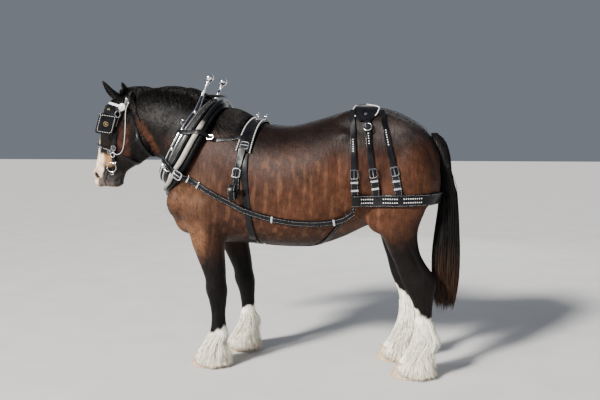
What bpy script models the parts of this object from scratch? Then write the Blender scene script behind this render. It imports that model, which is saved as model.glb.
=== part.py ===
"""A heavy draught horse in show harness, life size, as it stands.

Metres, +Z up. The horse looks along -X, its left side is -Y and its hooves stand on z = 0.
The flesh is modelled whole from lofted sections and muscle forms, made one skin, and parted by thin cuts.
The harness is laid on that skin with rays, so it follows any change in the body.
"""

import math
import random

import bmesh
import bpy
import numpy as np
from mathutils import Matrix, Vector
from mathutils.bvhtree import BVHTree

# Driving sizes of the animal
WITHERS_HEIGHT = 1.77
GAP = 0.0003  # between pieces that touch
STRAP_LIFTS = (0.0008, 0.0014, 0.0022, 0.0032)  # from what a strap lies on, the first that clears it
SKIN_VOXEL = 0.011
HEAD_VOXEL = 0.0065
LEG_SPREAD_FORE = 0.195  # from the middle plane to the middle of a foreleg
LEG_SPREAD_HIND = 0.175
SWING_PIVOT = 1.18  # height about which a leg swings forward or back
COLLAR_TOP = Vector((-0.57, 0, 1.80))
COLLAR_BOTTOM = Vector((-0.925, 0, 1.13))
LEG_CUT = 0.80  # below the belly
FOOT_CUT_FORE = 0.30
FOOT_CUT_HIND = 0.35
CORONET = 0.10

# Each leg: side (-1 left, +1 right) and how far the hoof stands behind its plain place
LEGS_FORE = {"fore_left": (-1, 0.0), "fore_right": (1, 0.115)}
LEGS_HIND = {"hind_left": (-1, 0.0), "hind_right": (1, -0.13)}

# Trunk sections across the body: x, top, bottom, half width, level of the widest place
TRUNK = (
    (-0.870, 1.30, 1.03, 0.13, 0.55),
    (-0.82, 1.50, 0.93, 0.225, 0.55),
    (-0.72, 1.66, 0.85, 0.285, 0.55),
    (-0.56, 1.755, 0.835, 0.315, 0.52),
    (-0.42, 1.745, 0.84, 0.335, 0.52),
    (-0.25, 1.675, 0.835, 0.36, 0.52),
    (-0.05, 1.650, 0.825, 0.378, 0.52),
    (0.15, 1.695, 0.84, 0.375, 0.50),
    (0.32, 1.745, 0.90, 0.352, 0.47),
    (0.48, 1.772, 0.98, 0.335, 0.44),
    (0.64, 1.745, 1.03, 0.31, 0.45),
    (0.78, 1.675, 1.09, 0.265, 0.45),
    (0.88, 1.59, 1.17, 0.195, 0.48),
    (0.945, 1.46, 1.27, 0.10, 0.50),
)
# Neck sections: top x, top z, bottom x, bottom z, half width, level of the widest place
NECK = (
    (-0.50, 1.72, -0.81, 1.05, 0.235, 0.60),
    (-0.67, 1.805, -0.905, 1.22, 0.188, 0.62),
    (-0.84, 1.875, -0.962, 1.36, 0.150, 0.62),
    (-1.00, 1.905, -1.025, 1.455, 0.118, 0.60),
    (-1.15, 1.893, -1.065, 1.535, 0.105, 0.56),
    (-1.27, 1.85, -1.11, 1.60, 0.095, 0.50),
)
# Head sections: front x, front z, back x, back z, half width, level of the widest place
HEAD = (
    (-1.285, 1.885, -1.13, 1.67, 0.075, 0.40),
    (-1.375, 1.835, -1.085, 1.59, 0.105, 0.34),
    (-1.432, 1.745, -1.075, 1.485, 0.116, 0.28),
    (-1.462, 1.64, -1.135, 1.415, 0.098, 0.30),
    (-1.484, 1.53, -1.225, 1.365, 0.078, 0.38),
    (-1.503, 1.43, -1.285, 1.325, 0.066, 0.45),
    (-1.522, 1.34, -1.305, 1.280, 0.066, 0.42),
    (-1.520, 1.275, -1.315, 1.245, 0.060, 0.42),
    (-1.490, 1.225, -1.350, 1.218, 0.045, 0.45),
)
# Legs: height, front x, back x, half width
FORE_LEG = (
    (1.22, -0.79, -0.52, 0.080),
    (1.06, -0.785, -0.47, 0.108),
    (0.93, -0.735, -0.475, 0.104),
    (0.84, -0.708, -0.487, 0.096),
    (0.755, -0.676, -0.485, 0.086),
    (0.666, -0.642, -0.480, 0.075),
    (0.60, -0.622, -0.480, 0.068),
    (0.53, -0.621, -0.470, 0.068),
    (0.46, -0.600, -0.476, 0.058),
    (0.374, -0.588, -0.484, 0.047),
    (0.283, -0.588, -0.480, 0.050),
    (0.22, -0.602, -0.465, 0.060),
    (0.16, -0.632, -0.502, 0.056),
    (0.085, -0.680, -0.500, 0.074),
)
HIND_LEG = (
    (1.30, 0.42, 0.93, 0.11),
    (1.16, 0.46, 0.895, 0.125),
    (1.057, 0.505, 0.842, 0.122),
    (0.96, 0.560, 0.812, 0.108),
    (0.88, 0.602, 0.816, 0.093),
    (0.81, 0.634, 0.832, 0.079),
    (0.74, 0.668, 0.872, 0.067),
    (0.67, 0.694, 0.925, 0.058),
    (0.62, 0.714, 0.937, 0.060),
    (0.55, 0.752, 0.922, 0.057),
    (0.49, 0.782, 0.915, 0.050),
    (0.40, 0.800, 0.910, 0.046),
    (0.32, 0.800, 0.920, 0.050),
    (0.24, 0.782, 0.938, 0.060),
    (0.17, 0.755, 0.890, 0.055),
    (0.085, 0.700, 0.885, 0.073),
)
# Muscles and bones that stand out on each side: centre, radii, turn about Y in degrees
MUSCLES = {
    "shoulder": ((-0.68, 0.225, 1.36), (0.115, 0.075, 0.27), 30),
    "point_of_shoulder": ((-0.80, 0.170, 1.13), (0.105, 0.12, 0.13), 0),
    "upper_arm": ((-0.60, 0.245, 1.09), (0.16, 0.075, 0.15), -15),
    "breast": ((-0.785, 0.10, 1.08), (0.103, 0.12, 0.18), 0),
    "croup": ((0.53, 0.145, 1.595), (0.30, 0.155, 0.15), 12),
    "hip": ((0.36, 0.245, 1.53), (0.11, 0.075, 0.10), 0),
    "thigh": ((0.70, 0.205, 1.31), (0.21, 0.11, 0.27), 0),
    "buttock": ((0.865, 0.115, 1.33), (0.085, 0.10, 0.21), -8),
    "stifle": ((0.58, 0.195, 1.10), (0.11, 0.078, 0.16), 10),
}
HEAD_FORMS = {
    "cheek": ((-1.165, 0.058, 1.535), (0.105, 0.042, 0.105), 0),
    "brow": ((-1.380, 0.086, 1.712), (0.042, 0.032, 0.040), 0),
    "cheek_bone": ((-1.345, 0.072, 1.62), (0.040, 0.026, 0.10), 12),
    "nostril": ((-1.487, 0.040, 1.318), (0.034, 0.030, 0.050), 8),
    "upper_lip": ((-1.474, 0.018, 1.253), (0.050, 0.044, 0.040), 0),
    "lower_lip": ((-1.362, 0.012, 1.252), (0.050, 0.038, 0.036), 0),
    "poll": ((-1.235, 0.025, 1.845), (0.07, 0.045, 0.04), 0),
}
EYE = Vector((-1.388, 0.0985, 1.690))
EYE_RADIUS = 0.023
EYE_LOOKS = Vector((-0.38, 0.92, 0.06)).normalized()
EYE_SLANT = Vector((0.60, 0, 0.80))  # from the inner to the outer corner
EAR_LENGTH = 0.175
EAR_ROOT = Vector((-1.285, 0.068, 1.845))
# Ear name: side, the way its tip points, the way its cup opens
EARS = {
    "ear_left": (-1, Vector((-0.62, -0.12, 0.72)), Vector((-0.75, -0.62, -0.35))),
    "ear_right": (1, Vector((-0.26, 0.16, 0.90)), Vector((-0.72, 0.62, -0.05))),
}

# Ear rows: share of the length, half width, depth, wrap of the shell in degrees, depth of the inner face
EAR_ROWS = (
    (-0.20, 0.022, 0.022, 150, -0.90),
    (0.00, 0.025, 0.024, 140, -0.70),
    (0.14, 0.030, 0.025, 118, 0.10),
    (0.32, 0.034, 0.026, 100, 0.66),
    (0.52, 0.032, 0.024, 92, 0.70),
    (0.72, 0.025, 0.019, 88, 0.68),
    (0.90, 0.013, 0.012, 86, 0.60),
    (1.00, 0.004, 0.005, 84, 0.40),
)
# Tail rows: x, z, half depth, half width. Its locks: height of the root, how many, length
TAIL = (
    (0.880, 1.605, 0.030, 0.030),
    (0.938, 1.562, 0.036, 0.038),
    (0.972, 1.470, 0.043, 0.050),
    (0.994, 1.330, 0.050, 0.060),
    (1.004, 1.170, 0.056, 0.068),
    (1.000, 1.020, 0.050, 0.062),
)
TAIL_TIERS = ((1.42, 4, 0.58), (1.25, 5, 0.62), (1.09, 6, 0.66))
TAIL_END = 0.41
TAIL_SPREAD = ((0.0, 0.60), (0.30, 1.0), (0.68, 1.05), (1.0, 0.62))  # share of the length, of the bulk
LOCK_SHARES = {4: (0.80, 1.0, 0.66), 5: (0.80, 1.0, 0.95, 0.62)}  # of a lock's width, by points of its path
# Feather: how far it stands out at the ground, and tiers of height, count, length
FEATHER_SPILL = 0.060
FEATHER_TIERS = ((0.200, 7, 0.17), (0.118, 7, 0.105))
MANE_COUNT = 11
MANE_FROM, MANE_TO = -1.20, -0.70
MANE_RISE = 0.024
MANE_FALL = {1: 0.20, -1: 0.10}
TORSO_TRIANGLES = 1180
NECK_TRIANGLES = 240
HEAD_TRIANGLES = 960
LEG_TRIANGLES = 200
FOOT_TRIANGLES = 50
COLLAR_MIDDLE = Vector((-0.755, 0, 1.475))
COLLAR_ABOVE, COLLAR_BELOW = 0.40, 0.288  # half axes from the middle to the top and to the lower end
# Collar profile from its back edge to its front edge: share of the half width, height
COLLAR_PROFILE = (
    (-1.0, 0.0), (-1.0, 0.028), (-0.66, 0.056), (-0.15, 0.054), (0.20, 0.030),
    (0.62, 0.026), (0.82, 0.040), (1.0, 0.024), (0.98, -0.045),
)
COLLAR_WIDTHS = (0.11, 0.14, 0.155, 0.155, 0.14, 0.12, 0.12, 0.14, 0.155, 0.155, 0.14, 0.11)
HAME_AHEAD = 0.016
HAME_RADIUS = 0.011
HAME_BALL = Vector((-0.594, 0.15, 1.973))
HAME_BALL_RADIUS = 0.028
# Lines of the harness on the left side, or from the left over the middle
PAD = [(-0.315, -0.315, 1.475), (-0.295, -0.25, 1.58), (-0.28, -0.12, 1.65), (-0.278, 0, 1.667)]
PAD += [(-0.28, 0.12, 1.65), (-0.295, 0.25, 1.58), (-0.315, 0.315, 1.475)]
GIRTH = [
    (-0.285, -0.32, 1.46), (-0.290, -0.36, 1.33), (-0.285, -0.36, 1.15), (-0.28, -0.30, 0.95),
    (-0.275, -0.15, 0.86),
]
GIRTH += [(-0.27, 0, 0.835)] + [(x, -y, z) for x, y, z in GIRTH[::-1]]
TUG_STRAP = [
    (-0.338, -0.31, 1.49), (-0.348, -0.345, 1.40), (-0.353, -0.36, 1.33), (-0.361, -0.375, 1.19),
]
TUG = Vector((-0.361, 0.412, 1.217))
HIP_PLATE = [
    (0.462, -0.14, 1.665), (0.445, -0.08, 1.725), (0.43, 0, 1.765), (0.445, 0.08, 1.725),
    (0.462, 0.14, 1.665),
]
HIP_PLATE_WIDTHS = (0.05, 0.10, 0.13, 0.10, 0.05)
BACK_STRAP = [
    (-0.24, 0, 1.68), (-0.05, 0, 1.65), (0.15, 0, 1.70), (0.43, 0, 1.77), (0.62, 0, 1.75),
    (0.77, 0, 1.68), (0.87, 0, 1.62),
]
HIP_STRAPS = {
    "front": [
        (0.405, -0.055, 1.755), (0.388, -0.15, 1.69), (0.402, -0.27, 1.52), (0.412, -0.33, 1.38),
        (0.418, -0.34, 1.165),
    ],
    "middle": [
        (0.465, -0.115, 1.70), (0.490, -0.22, 1.60), (0.512, -0.31, 1.44), (0.535, -0.33, 1.32),
        (0.555, -0.33, 1.165),
    ],
    "rear": [
        (0.475, -0.055, 1.755), (0.545, -0.13, 1.68), (0.610, -0.24, 1.50), (0.660, -0.29, 1.36),
        (0.700, -0.29, 1.165),
    ],
}
BREECHING = [
    (0.40, -0.34, 1.165), (0.56, -0.335, 1.167), (0.72, -0.29, 1.172), (0.85, -0.20, 1.178),
    (0.93, -0.10, 1.182), (0.95, 0, 1.183),
]
QUARTER_STRAP = [
    (0.415, -0.33, 1.105), (0.345, -0.31, 1.02), (0.25, -0.22, 0.92), (0.14, -0.09, 0.855),
    (0.03, -0.04, 0.835), (-0.235, -0.04, 0.835),
]
TRACE = [
    (-0.800, -0.26, 1.345), (-0.66, -0.30, 1.268), (-0.50, -0.35, 1.185), (-0.29, -0.37, 1.09),
    (-0.05, -0.38, 1.03), (0.16, -0.37, 1.015), (0.32, -0.35, 1.035), (0.40, -0.34, 1.085),
]
MARTINGALE = [
    (-0.955, 0, 1.125), (-0.945, 0, 1.05), (-0.915, 0, 0.98), (-0.84, 0, 0.90), (-0.70, 0, 0.85), (-0.52, 0, 0.835),
    (-0.31, 0, 0.835),
]
BROWBAND = [
    (-1.285, -0.105, 1.795), (-1.345, -0.085, 1.812), (-1.395, -0.04, 1.825), (-1.405, 0, 1.83),
]
BROWBAND += [(x, -y, z) for x, y, z in BROWBAND[-2::-1]]
CROWN = [(-1.245, -0.105, 1.755), (-1.235, -0.095, 1.81), (-1.222, -0.06, 1.87), (-1.215, 0, 1.895)]
CROWN += [(x, -y, z) for x, y, z in CROWN[-2::-1]]
NOSEBAND = [
    (-1.487, 0, 1.515), (-1.43, -0.06, 1.50), (-1.35, -0.075, 1.475), (-1.27, -0.05, 1.43),
    (-1.235, 0, 1.405),
]
NOSEBAND += [(x, -y, z) for x, y, z in NOSEBAND[-2:0:-1]]
THROATLATCH = [
    (-1.215, -0.105, 1.79), (-1.185, -0.11, 1.70), (-1.135, -0.10, 1.56), (-1.095, -0.05, 1.49),
    (-1.085, 0, 1.47),
]
THROATLATCH += [(x, -y, z) for x, y, z in THROATLATCH[-2::-1]]
CHEEK = [
    (-1.268, -0.11, 1.765), (-1.285, -0.11, 1.68), (-1.305, -0.10, 1.58), (-1.325, -0.09, 1.48),
    (-1.340, -0.08, 1.405),
]
BLINDER = [
    (-1.433, -0.172, 1.625), (-1.330, -0.140, 1.601), (-1.284, -0.138, 1.717),
    (-1.399, -0.172, 1.753),
]
ROSETTE = Vector((-1.262, 0.128, 1.782))
ROSETTE_TURN = ((0.0, 0.026), (0.007, 0.026), (0.013, 0.012))
BIT_RING = Vector((-1.352, 0.098, 1.362))
CHEEK_CORD = [
    (-1.245, -0.150, 1.755), (-1.222, -0.160, 1.66), (-1.228, -0.155, 1.55),
    (-1.265, -0.140, 1.445), (-1.318, -0.118, 1.39),
]
NOSTRIL = Vector((-1.497, 0.052, 1.315))
MOUTH_LINE = ((-1.368, 1.350), (-1.392, 1.318), (-1.408, 1.285), (-1.415, 1.25), (-1.412, 1.19))
MOUTH_OPEN = 0.004

COLOURS = {
    "coat_bay": ((0.13, 0.050, 0.028), 0.55, 0.0),
    "coat_black": ((0.018, 0.014, 0.013), 0.55, 0.0),
    "coat_white": ((0.80, 0.76, 0.68), 0.65, 0.0),
    "hair_black": ((0.012, 0.010, 0.010), 0.45, 0.0),
    "horn": ((0.62, 0.50, 0.36), 0.5, 0.0),
    "eye": ((0.02, 0.012, 0.008), 0.1, 0.0),
    "black_leather": ((0.012, 0.012, 0.014), 0.25, 0.0),
    "chrome": ((0.85, 0.85, 0.87), 0.12, 1.0),
    "white_trim": ((0.82, 0.82, 0.80), 0.4, 0.0),
}


def clear_scene():
    for obj in list(bpy.data.objects):
        bpy.data.objects.remove(obj, do_unlink=True)


clear_scene()
HORSE = bpy.data.collections.new("heavy_horse")
HELPERS = bpy.data.collections.new("cutters")
HELPERS.hide_render = True
bpy.context.scene.collection.children.link(HORSE)
bpy.context.scene.collection.children.link(HELPERS)


def finish(name):
    """The material of that name, made once."""
    found = bpy.data.materials.get(name)
    if found:
        return found
    colour, roughness, metallic = COLOURS[name]
    made = bpy.data.materials.new(name)
    made.use_nodes = True
    shader = made.node_tree.nodes["Principled BSDF"]
    shader.inputs["Base Color"].default_value = (*colour, 1)
    shader.inputs["Roughness"].default_value = roughness
    shader.inputs["Metallic"].default_value = metallic
    made.diffuse_color = (*colour, 1)
    return made


def add_node(name, mesh, material):
    """A visible, named piece of the horse."""
    obj = bpy.data.objects.new(name, mesh)
    mesh.name = name
    mesh.materials.clear()
    mesh.materials.append(finish(material))
    HORSE.objects.link(obj)
    mesh.shade_smooth()
    mesh.set_sharp_from_angle(angle=math.radians(45))
    return obj


def add_helper(name, mesh):
    """A shape that cuts or joins others and isn't part of the horse."""
    obj = bpy.data.objects.new(name, mesh)
    obj.hide_render = True
    obj.display_type = "WIRE"
    HELPERS.objects.link(obj)
    return obj


def mesh_of(bm, name="shape"):
    bmesh.ops.recalc_face_normals(bm, faces=bm.faces)
    mesh = bpy.data.meshes.new(name)
    bm.to_mesh(mesh)
    bm.free()
    return mesh


def evaluated(obj):
    """The object's mesh with its modifiers applied."""
    graph = bpy.context.evaluated_depsgraph_get()
    return bpy.data.meshes.new_from_object(obj.evaluated_get(graph), depsgraph=graph)


def drop(*objects):
    for obj in objects:
        bpy.data.objects.remove(obj, do_unlink=True)


def resample(rows, count):
    """Rows of numbers read at even steps of a smooth curve through them."""
    rows = np.array(rows, float)
    steps = np.linalg.norm(np.diff(rows[:, :2], axis=0), axis=1)
    keys = np.concatenate([[0], np.cumsum(np.maximum(steps, 1e-4))])
    slopes = np.diff(rows, axis=0) / np.diff(keys)[:, None]
    tangents = np.vstack([slopes[:1], (slopes[1:] + slopes[:-1]) / 2, slopes[-1:]])
    made = []
    for key in np.linspace(0, keys[-1], count):
        i = min(max(int(np.searchsorted(keys, key, "right")) - 1, 0), len(keys) - 2)
        span = keys[i + 1] - keys[i]
        t = (key - keys[i]) / span
        made.append(
            (2 * t**3 - 3 * t**2 + 1) * rows[i]
            + (t**3 - 2 * t**2 + t) * span * tangents[i]
            + (3 * t**2 - 2 * t**3) * rows[i + 1]
            + (t**3 - t**2) * span * tangents[i + 1]
        )
    return made


def oval(front, back, width, y=0.0, level=0.5, roundness=2.2, sides=28):
    """A ring about the line from one point of the x-z plane to another, widest at that level of it."""
    front, back = Vector((front[0], y, front[1])), Vector((back[0], y, back[1]))
    middle = front.lerp(back, level)
    points = []
    for k in range(sides):
        angle = math.tau * k / sides
        across = math.copysign(abs(math.cos(angle)) ** (2 / roundness), math.cos(angle))
        along = abs(math.sin(angle)) ** (2 / roundness)
        end = front if math.sin(angle) > 0 else back
        points.append(middle.lerp(end, along) + Vector((0, width * across, 0)))
    return points


def sections(table, count, roundness, sides=28):
    """Rings in the middle plane from rows of upper x, z, lower x, z, half width and widest level."""
    rings = []
    for ax, az, bx, bz, width, level in resample(table, count):
        rings.append(oval((ax, az), (bx, bz), width, 0, level, roundness, sides))
    return rings


def bridge(bm, rings, closed=False):
    """Walls between rings of equally many points, with end faces or closed on itself."""
    made = [[bm.verts.new(p) for p in ring] for ring in rings]
    pairs = list(zip(made, made[1:])) + ([(made[-1], made[0])] if closed else [])
    for below, above in pairs:
        for k in range(len(below)):
            after = (k + 1) % len(below)
            bm.faces.new((below[k], below[after], above[after], above[k]))
    if not closed:
        bm.faces.new(made[0][::-1])
        bm.faces.new(made[-1])


def add_ball(bm, centre, radii, turn=0.0, rings=12):
    """An egg shape, turned about Y by that many degrees."""
    matrix = (
        Matrix.Translation(centre)
        @ Matrix.Rotation(math.radians(turn), 4, "Y")
        @ Matrix.Diagonal((*radii, 1))
    )
    bmesh.ops.create_uvsphere(bm, u_segments=2 * rings, v_segments=rings, radius=1, matrix=matrix)


def swing(z, stride):
    """How far a leg of that stride is moved along X at a height."""
    return stride * max(0.0, 1 - (z / SWING_PIVOT) ** 2)


def leg_rings(table, side, stride, spread, count):
    rings = []
    for z, front, back, width in resample(table, count):
        shift = swing(z, stride)
        lean = side * (spread + 0.02 * max(0.0, z - 0.6))
        rings.append(oval((front + shift, z), (back + shift, z), width, lean, 0.48, 2.2, 24))
    return rings


def skin_of(bm, voxel, smoothing):
    """One closed smooth skin over shapes that overlap. smoothing: rounds for the trunk, for the rest."""
    obj = add_helper("flesh", mesh_of(bm))
    remesh = obj.modifiers.new("one_skin", "REMESH")
    remesh.mode = "VOXEL"
    remesh.voxel_size = voxel
    joined = evaluated(obj)
    drop(obj)
    obj = add_helper("flesh", joined)
    trunk = obj.vertex_groups.new(name="trunk")
    points = np.array([v.co for v in joined.vertices])
    weight = np.clip((points[:, 2] - 0.80) / 0.15, 0, 1) * np.clip((points[:, 0] + 1.25) / 0.15, 0, 1)
    for index, value in enumerate(weight):
        if value > 0:
            trunk.add([index], float(value), "REPLACE")
    for rounds, group in zip(smoothing, ("trunk", "")):
        smooth = obj.modifiers.new("soften", "SMOOTH")
        smooth.factor = 0.5
        smooth.iterations = rounds
        smooth.vertex_group = group
    made = evaluated(obj)
    drop(obj)
    return made


def body_skin():
    """Trunk, neck and legs as one fine skin."""
    bm = bmesh.new()
    trunk = [(x, top, x, bottom, width, level) for x, top, bottom, width, level in TRUNK]
    bridge(bm, sections(trunk, 34, 2.25, 36))
    bridge(bm, sections(NECK, 22, 2.0))
    bridge(bm, sections(HEAD, 26, 2.3))
    for centre, radii, turn in MUSCLES.values():
        for side in (-1, 1):
            add_ball(bm, (centre[0], side * centre[1], centre[2]), radii, turn)
    for side, stride in LEGS_FORE.values():
        bridge(bm, leg_rings(FORE_LEG, side, stride, LEG_SPREAD_FORE, 40))
    for side, stride in LEGS_HIND.values():
        bridge(bm, leg_rings(HIND_LEG, side, stride, LEG_SPREAD_HIND, 40))
    return skin_of(bm, SKIN_VOXEL, (22, 3))


def keep_side(mesh, point, normal):
    """Cuts a closed mesh with a plane, drops what the normal points at and closes the cut."""
    bm = bmesh.new()
    bm.from_mesh(mesh)
    everything = bm.verts[:] + bm.edges[:] + bm.faces[:]
    cut = bmesh.ops.bisect_plane(bm, geom=everything, plane_co=point, plane_no=normal, clear_outer=True)
    rim = [e for e in cut["geom_cut"] if isinstance(e, bmesh.types.BMEdge) and e.is_boundary]
    bmesh.ops.holes_fill(bm, edges=rim, sides=0)
    bmesh.ops.triangulate(bm, faces=[f for f in bm.faces if len(f.verts) > 4])
    mesh = bpy.data.meshes.new("cut")
    bm.to_mesh(mesh)
    bm.free()
    return mesh


def carve(skin, planes, triangles):
    """The part of a fine skin behind every plane, thinned to about that many triangles."""
    margin = 0.03
    rough = skin
    for point, normal in planes:
        normal = Vector(normal).normalized()
        rough = keep_side(rough, Vector(point) + normal * margin, normal)
    obj = add_helper("rough", rough)
    thin = obj.modifiers.new("thin", "DECIMATE")
    thin.ratio = min(1.0, triangles / sum(len(p.vertices) - 2 for p in rough.polygons))
    thin.use_collapse_triangulate = True
    mesh = evaluated(obj)
    drop(obj)
    for point, normal in planes:
        normal = Vector(normal).normalized()
        mesh = keep_side(mesh, Vector(point) - normal * GAP / 2, normal)
    return largest_body(mesh)


def largest_body(mesh):
    """Only the largest closed surface of a mesh."""
    bm = bmesh.new()
    bm.from_mesh(mesh)
    bm.verts.ensure_lookup_table()
    left, bodies = set(bm.verts), []
    while left:
        body, edge_of_body = set(), [left.pop()]
        while edge_of_body:
            vert = edge_of_body.pop()
            body.add(vert)
            near = [e.other_vert(vert) for e in vert.link_edges]
            fresh = [v for v in near if v in left]
            left.difference_update(fresh)
            edge_of_body.extend(fresh)
        bodies.append(body)
    def size(body):
        faces = {f for v in body for f in v.link_faces}
        return abs(sum(f.calc_area() for f in faces))
    best = max(bodies, key=size)
    bmesh.ops.delete(bm, geom=[v for v in bm.verts if v not in best], context="VERTS")
    made = bpy.data.meshes.new("body")
    bm.to_mesh(made)
    bm.free()
    return made


def boolean(mesh, others, operation, solver="MANIFOLD"):
    """The mesh joined with or cut by other meshes in one step."""
    group = bpy.data.collections.new("operands")
    operands = []
    for other in others:
        obj = bpy.data.objects.new("operand", other)
        group.objects.link(obj)
        operands.append(obj)
    bpy.context.scene.collection.children.link(group)
    obj = add_helper("base", mesh)
    step = obj.modifiers.new("joined", "BOOLEAN")
    step.operation = operation
    step.operand_type = "COLLECTION"
    step.collection = group
    step.solver = solver
    made = evaluated(obj)
    drop(obj, *operands)
    bpy.data.collections.remove(group)
    return largest_body(made)


def inflated(mesh, by):
    """A copy of a mesh grown outwards."""
    bm = bmesh.new()
    bm.from_mesh(mesh)
    bm.normal_update()
    moves = [(v, v.normal.copy()) for v in bm.verts]
    for vert, normal in moves:
        vert.co += normal * by
    made = bpy.data.meshes.new("grown")
    bm.to_mesh(made)
    bm.free()
    return made


def tree_of(*meshes):
    """A ray target over several meshes."""
    verts, faces = [], []
    for mesh in meshes:
        start = len(verts)
        verts += [v.co.copy() for v in mesh.vertices]
        faces += [[start + i for i in p.vertices] for p in mesh.polygons]
    return BVHTree.FromPolygons(verts, faces)


def smooth_line(points, step, closed=False):
    """Evenly stepped points of a smooth line through the given ones."""
    points = [Vector(p) for p in points]
    count = len(points)
    dense = []
    for i in range(count if closed else count - 1):
        at = [(i + k) % count if closed else min(max(i + k, 0), count - 1) for k in (-1, 0, 1, 2)]
        a, b, c, d = (points[k] for k in at)
        for t in np.linspace(0, 1, 24, endpoint=False):
            bend = (2 * a - 5 * b + 4 * c - d) * t * t + (3 * b - a - 3 * c + d) * t**3
            dense.append((2 * b + (c - a) * t + bend) / 2)
    dense.append(points[0] if closed else points[-1])
    lengths = np.concatenate([[0], np.cumsum([(b - a).length for a, b in zip(dense, dense[1:])])])
    keys = np.linspace(0, lengths[-1], max(3, round(lengths[-1] / step)) + 1)
    columns = [np.interp(keys, lengths, [p[i] for p in dense]) for i in range(3)]
    made = [Vector(p) for p in zip(*columns)]
    return made[:-1] if closed else made


def away_from(a, b):
    """A function that gives the way out from the line through two points."""
    a, b = Vector(a), Vector(b)
    along = (b - a).normalized()
    return lambda p: ((p - a) - along * (p - a).dot(along)).normalized()


def tube_rings(line, radii, face, sides=8, closed=False, flat=1.0):
    """Rings across a line. face is a way that the line never takes, flat squeezes them that way."""
    rings = []
    count = len(line)
    for i, point in enumerate(line):
        before = line[(i - 1) % count] if closed else line[max(i - 1, 0)]
        after = line[(i + 1) % count] if closed else line[min(i + 1, count - 1)]
        ahead = (after - before).normalized()
        side = ahead.cross(face).normalized()
        up = side.cross(ahead).normalized()
        radius = radii[i] if isinstance(radii, (list, tuple)) else radii
        angles = [math.tau * (k + 0.5) / sides for k in range(sides)]
        rings.append([point + (side * math.cos(a) + up * math.sin(a) * flat) * radius for a in angles])
    return rings


def tube(line, radii, face, sides=8, closed=False, flat=1.0):
    bm = bmesh.new()
    bridge(bm, tube_rings(line, radii, face, sides, closed, flat), closed)
    bmesh.ops.triangulate(bm, faces=bm.faces)
    return mesh_of(bm, "tube")


def circle(centre, u, v, count):
    """Points of an ellipse with those two half axes."""
    turns = [math.tau * k / count for k in range(count)]
    return [Vector(centre) + Vector(u) * math.cos(a) + Vector(v) * math.sin(a) for a in turns]


def strap(points, width, section, placed, aim, closed=False, ring_step=0.062, reach=0.12):
    """A band laid on what is placed there already. aim gives the way out of the body at a point.

    section is a thickness, or points of a profile: share of the half width, height above the surface.
    """
    if isinstance(section, float):
        section = ((-1, 0), (1, 0), (1, section), (-1, section))
    target = tree_of(*placed)
    line = smooth_line(points, 0.012, closed)
    count = len(line)
    widths = width if isinstance(width, (list, tuple)) else (width, width)
    left, right, frames = [], [], []
    for i, point in enumerate(line):
        before = line[(i - 1) % count] if closed else line[max(i - 1, 0)]
        after = line[(i + 1) % count] if closed else line[min(i + 1, count - 1)]
        ahead = (after - before).normalized()
        out = aim(point)
        out = (out - ahead * out.dot(ahead)).normalized()
        side = ahead.cross(out)
        half = float(np.interp(i / (count - 1), np.linspace(0, 1, len(widths)), widths)) / 2
        levels = []
        for share in (-1, -0.5, 0, 0.5, 1):
            hit = target.ray_cast(point + side * half * share + out * reach, -out, 2 * reach)
            levels.append(-1.0 if hit[0] is None else reach - hit[3])
        if max(levels) < -0.9:
            levels = [0.0] * 5
        low = max(levels) - 0.02
        levels = [max(value, low) for value in levels]
        chord = np.linspace(levels[0], levels[-1], 5)
        rise = max(value - base for value, base in zip(levels, chord))
        left.append(levels[0] + rise)
        right.append(levels[-1] + rise)
        frames.append((point, ahead, out, side, half))

    def lifted(values, span=3):
        values = np.array(values)
        wrap = "wrap" if closed else "edge"
        padded = np.pad(values, span, wrap)
        high = np.array([padded[k : k + 2 * span + 1].max() for k in range(count)])
        padded = np.pad(high, span, wrap)
        return np.array([padded[k : k + 2 * span + 1].mean() for k in range(count)])

    left, right = lifted(left), lifted(right)
    pieces = max(3, round(count * 0.012 / ring_step))
    if closed:
        chosen = sorted({round(count * k / pieces) % count for k in range(pieces)})
    else:
        chosen = sorted({round((count - 1) * k / pieces) for k in range(pieces + 1)})
    for lift in STRAP_LIFTS:
        rings = []
        for i in chosen:
            point, ahead, out, side, half = frames[i]
            a = point - side * half + out * (left[i] + lift)
            b = point + side * half + out * (right[i] + lift)
            normal = (b - a).cross(ahead).normalized()
            if normal.dot(out) < 0:
                normal = -normal
            rings.append([a.lerp(b, (share + 1) / 2) + normal * height for share, height in section])
        bm = bmesh.new()
        bridge(bm, rings, closed)
        bmesh.ops.triangulate(bm, faces=bm.faces)
        made = mesh_of(bm, "strap")
        if not tree_of(made).overlap(target):
            break
    return made


def plate(corners, thickness, rounding=3.6, count=16):
    """A flat plate with rounded corners, from four corner points in order."""
    corners = [Vector(c) for c in corners]
    middle = sum(corners, Vector()) / 4
    across = (corners[1] + corners[2] - corners[0] - corners[3]) / 4
    along = (corners[2] + corners[3] - corners[0] - corners[1]) / 4
    normal = across.cross(along).normalized()
    rings = []
    for depth, share in ((-0.5, 1.0), (0.2, 1.0), (0.5, 0.97)):
        ring = []
        for k in range(count):
            angle = math.tau * (k + 0.5) / count
            u = math.copysign(abs(math.cos(angle)) ** (2 / rounding), math.cos(angle))
            v = math.copysign(abs(math.sin(angle)) ** (2 / rounding), math.sin(angle))
            ring.append(middle + across * u * share + along * v * share + normal * thickness * depth)
        rings.append(ring)
    bm = bmesh.new()
    bridge(bm, rings)
    bmesh.ops.triangulate(bm, faces=bm.faces)
    return mesh_of(bm, "plate")


def clear_of(mesh, others):
    """The mesh with the room of those others, and a thin gap, taken out where it would meet them."""
    own = tree_of(mesh)
    for other in others:
        if own.overlap(tree_of(other)):
            mesh = boolean(mesh, [inflated(other, 3 * GAP)], "DIFFERENCE")
            own = tree_of(mesh)
    return mesh


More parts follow.
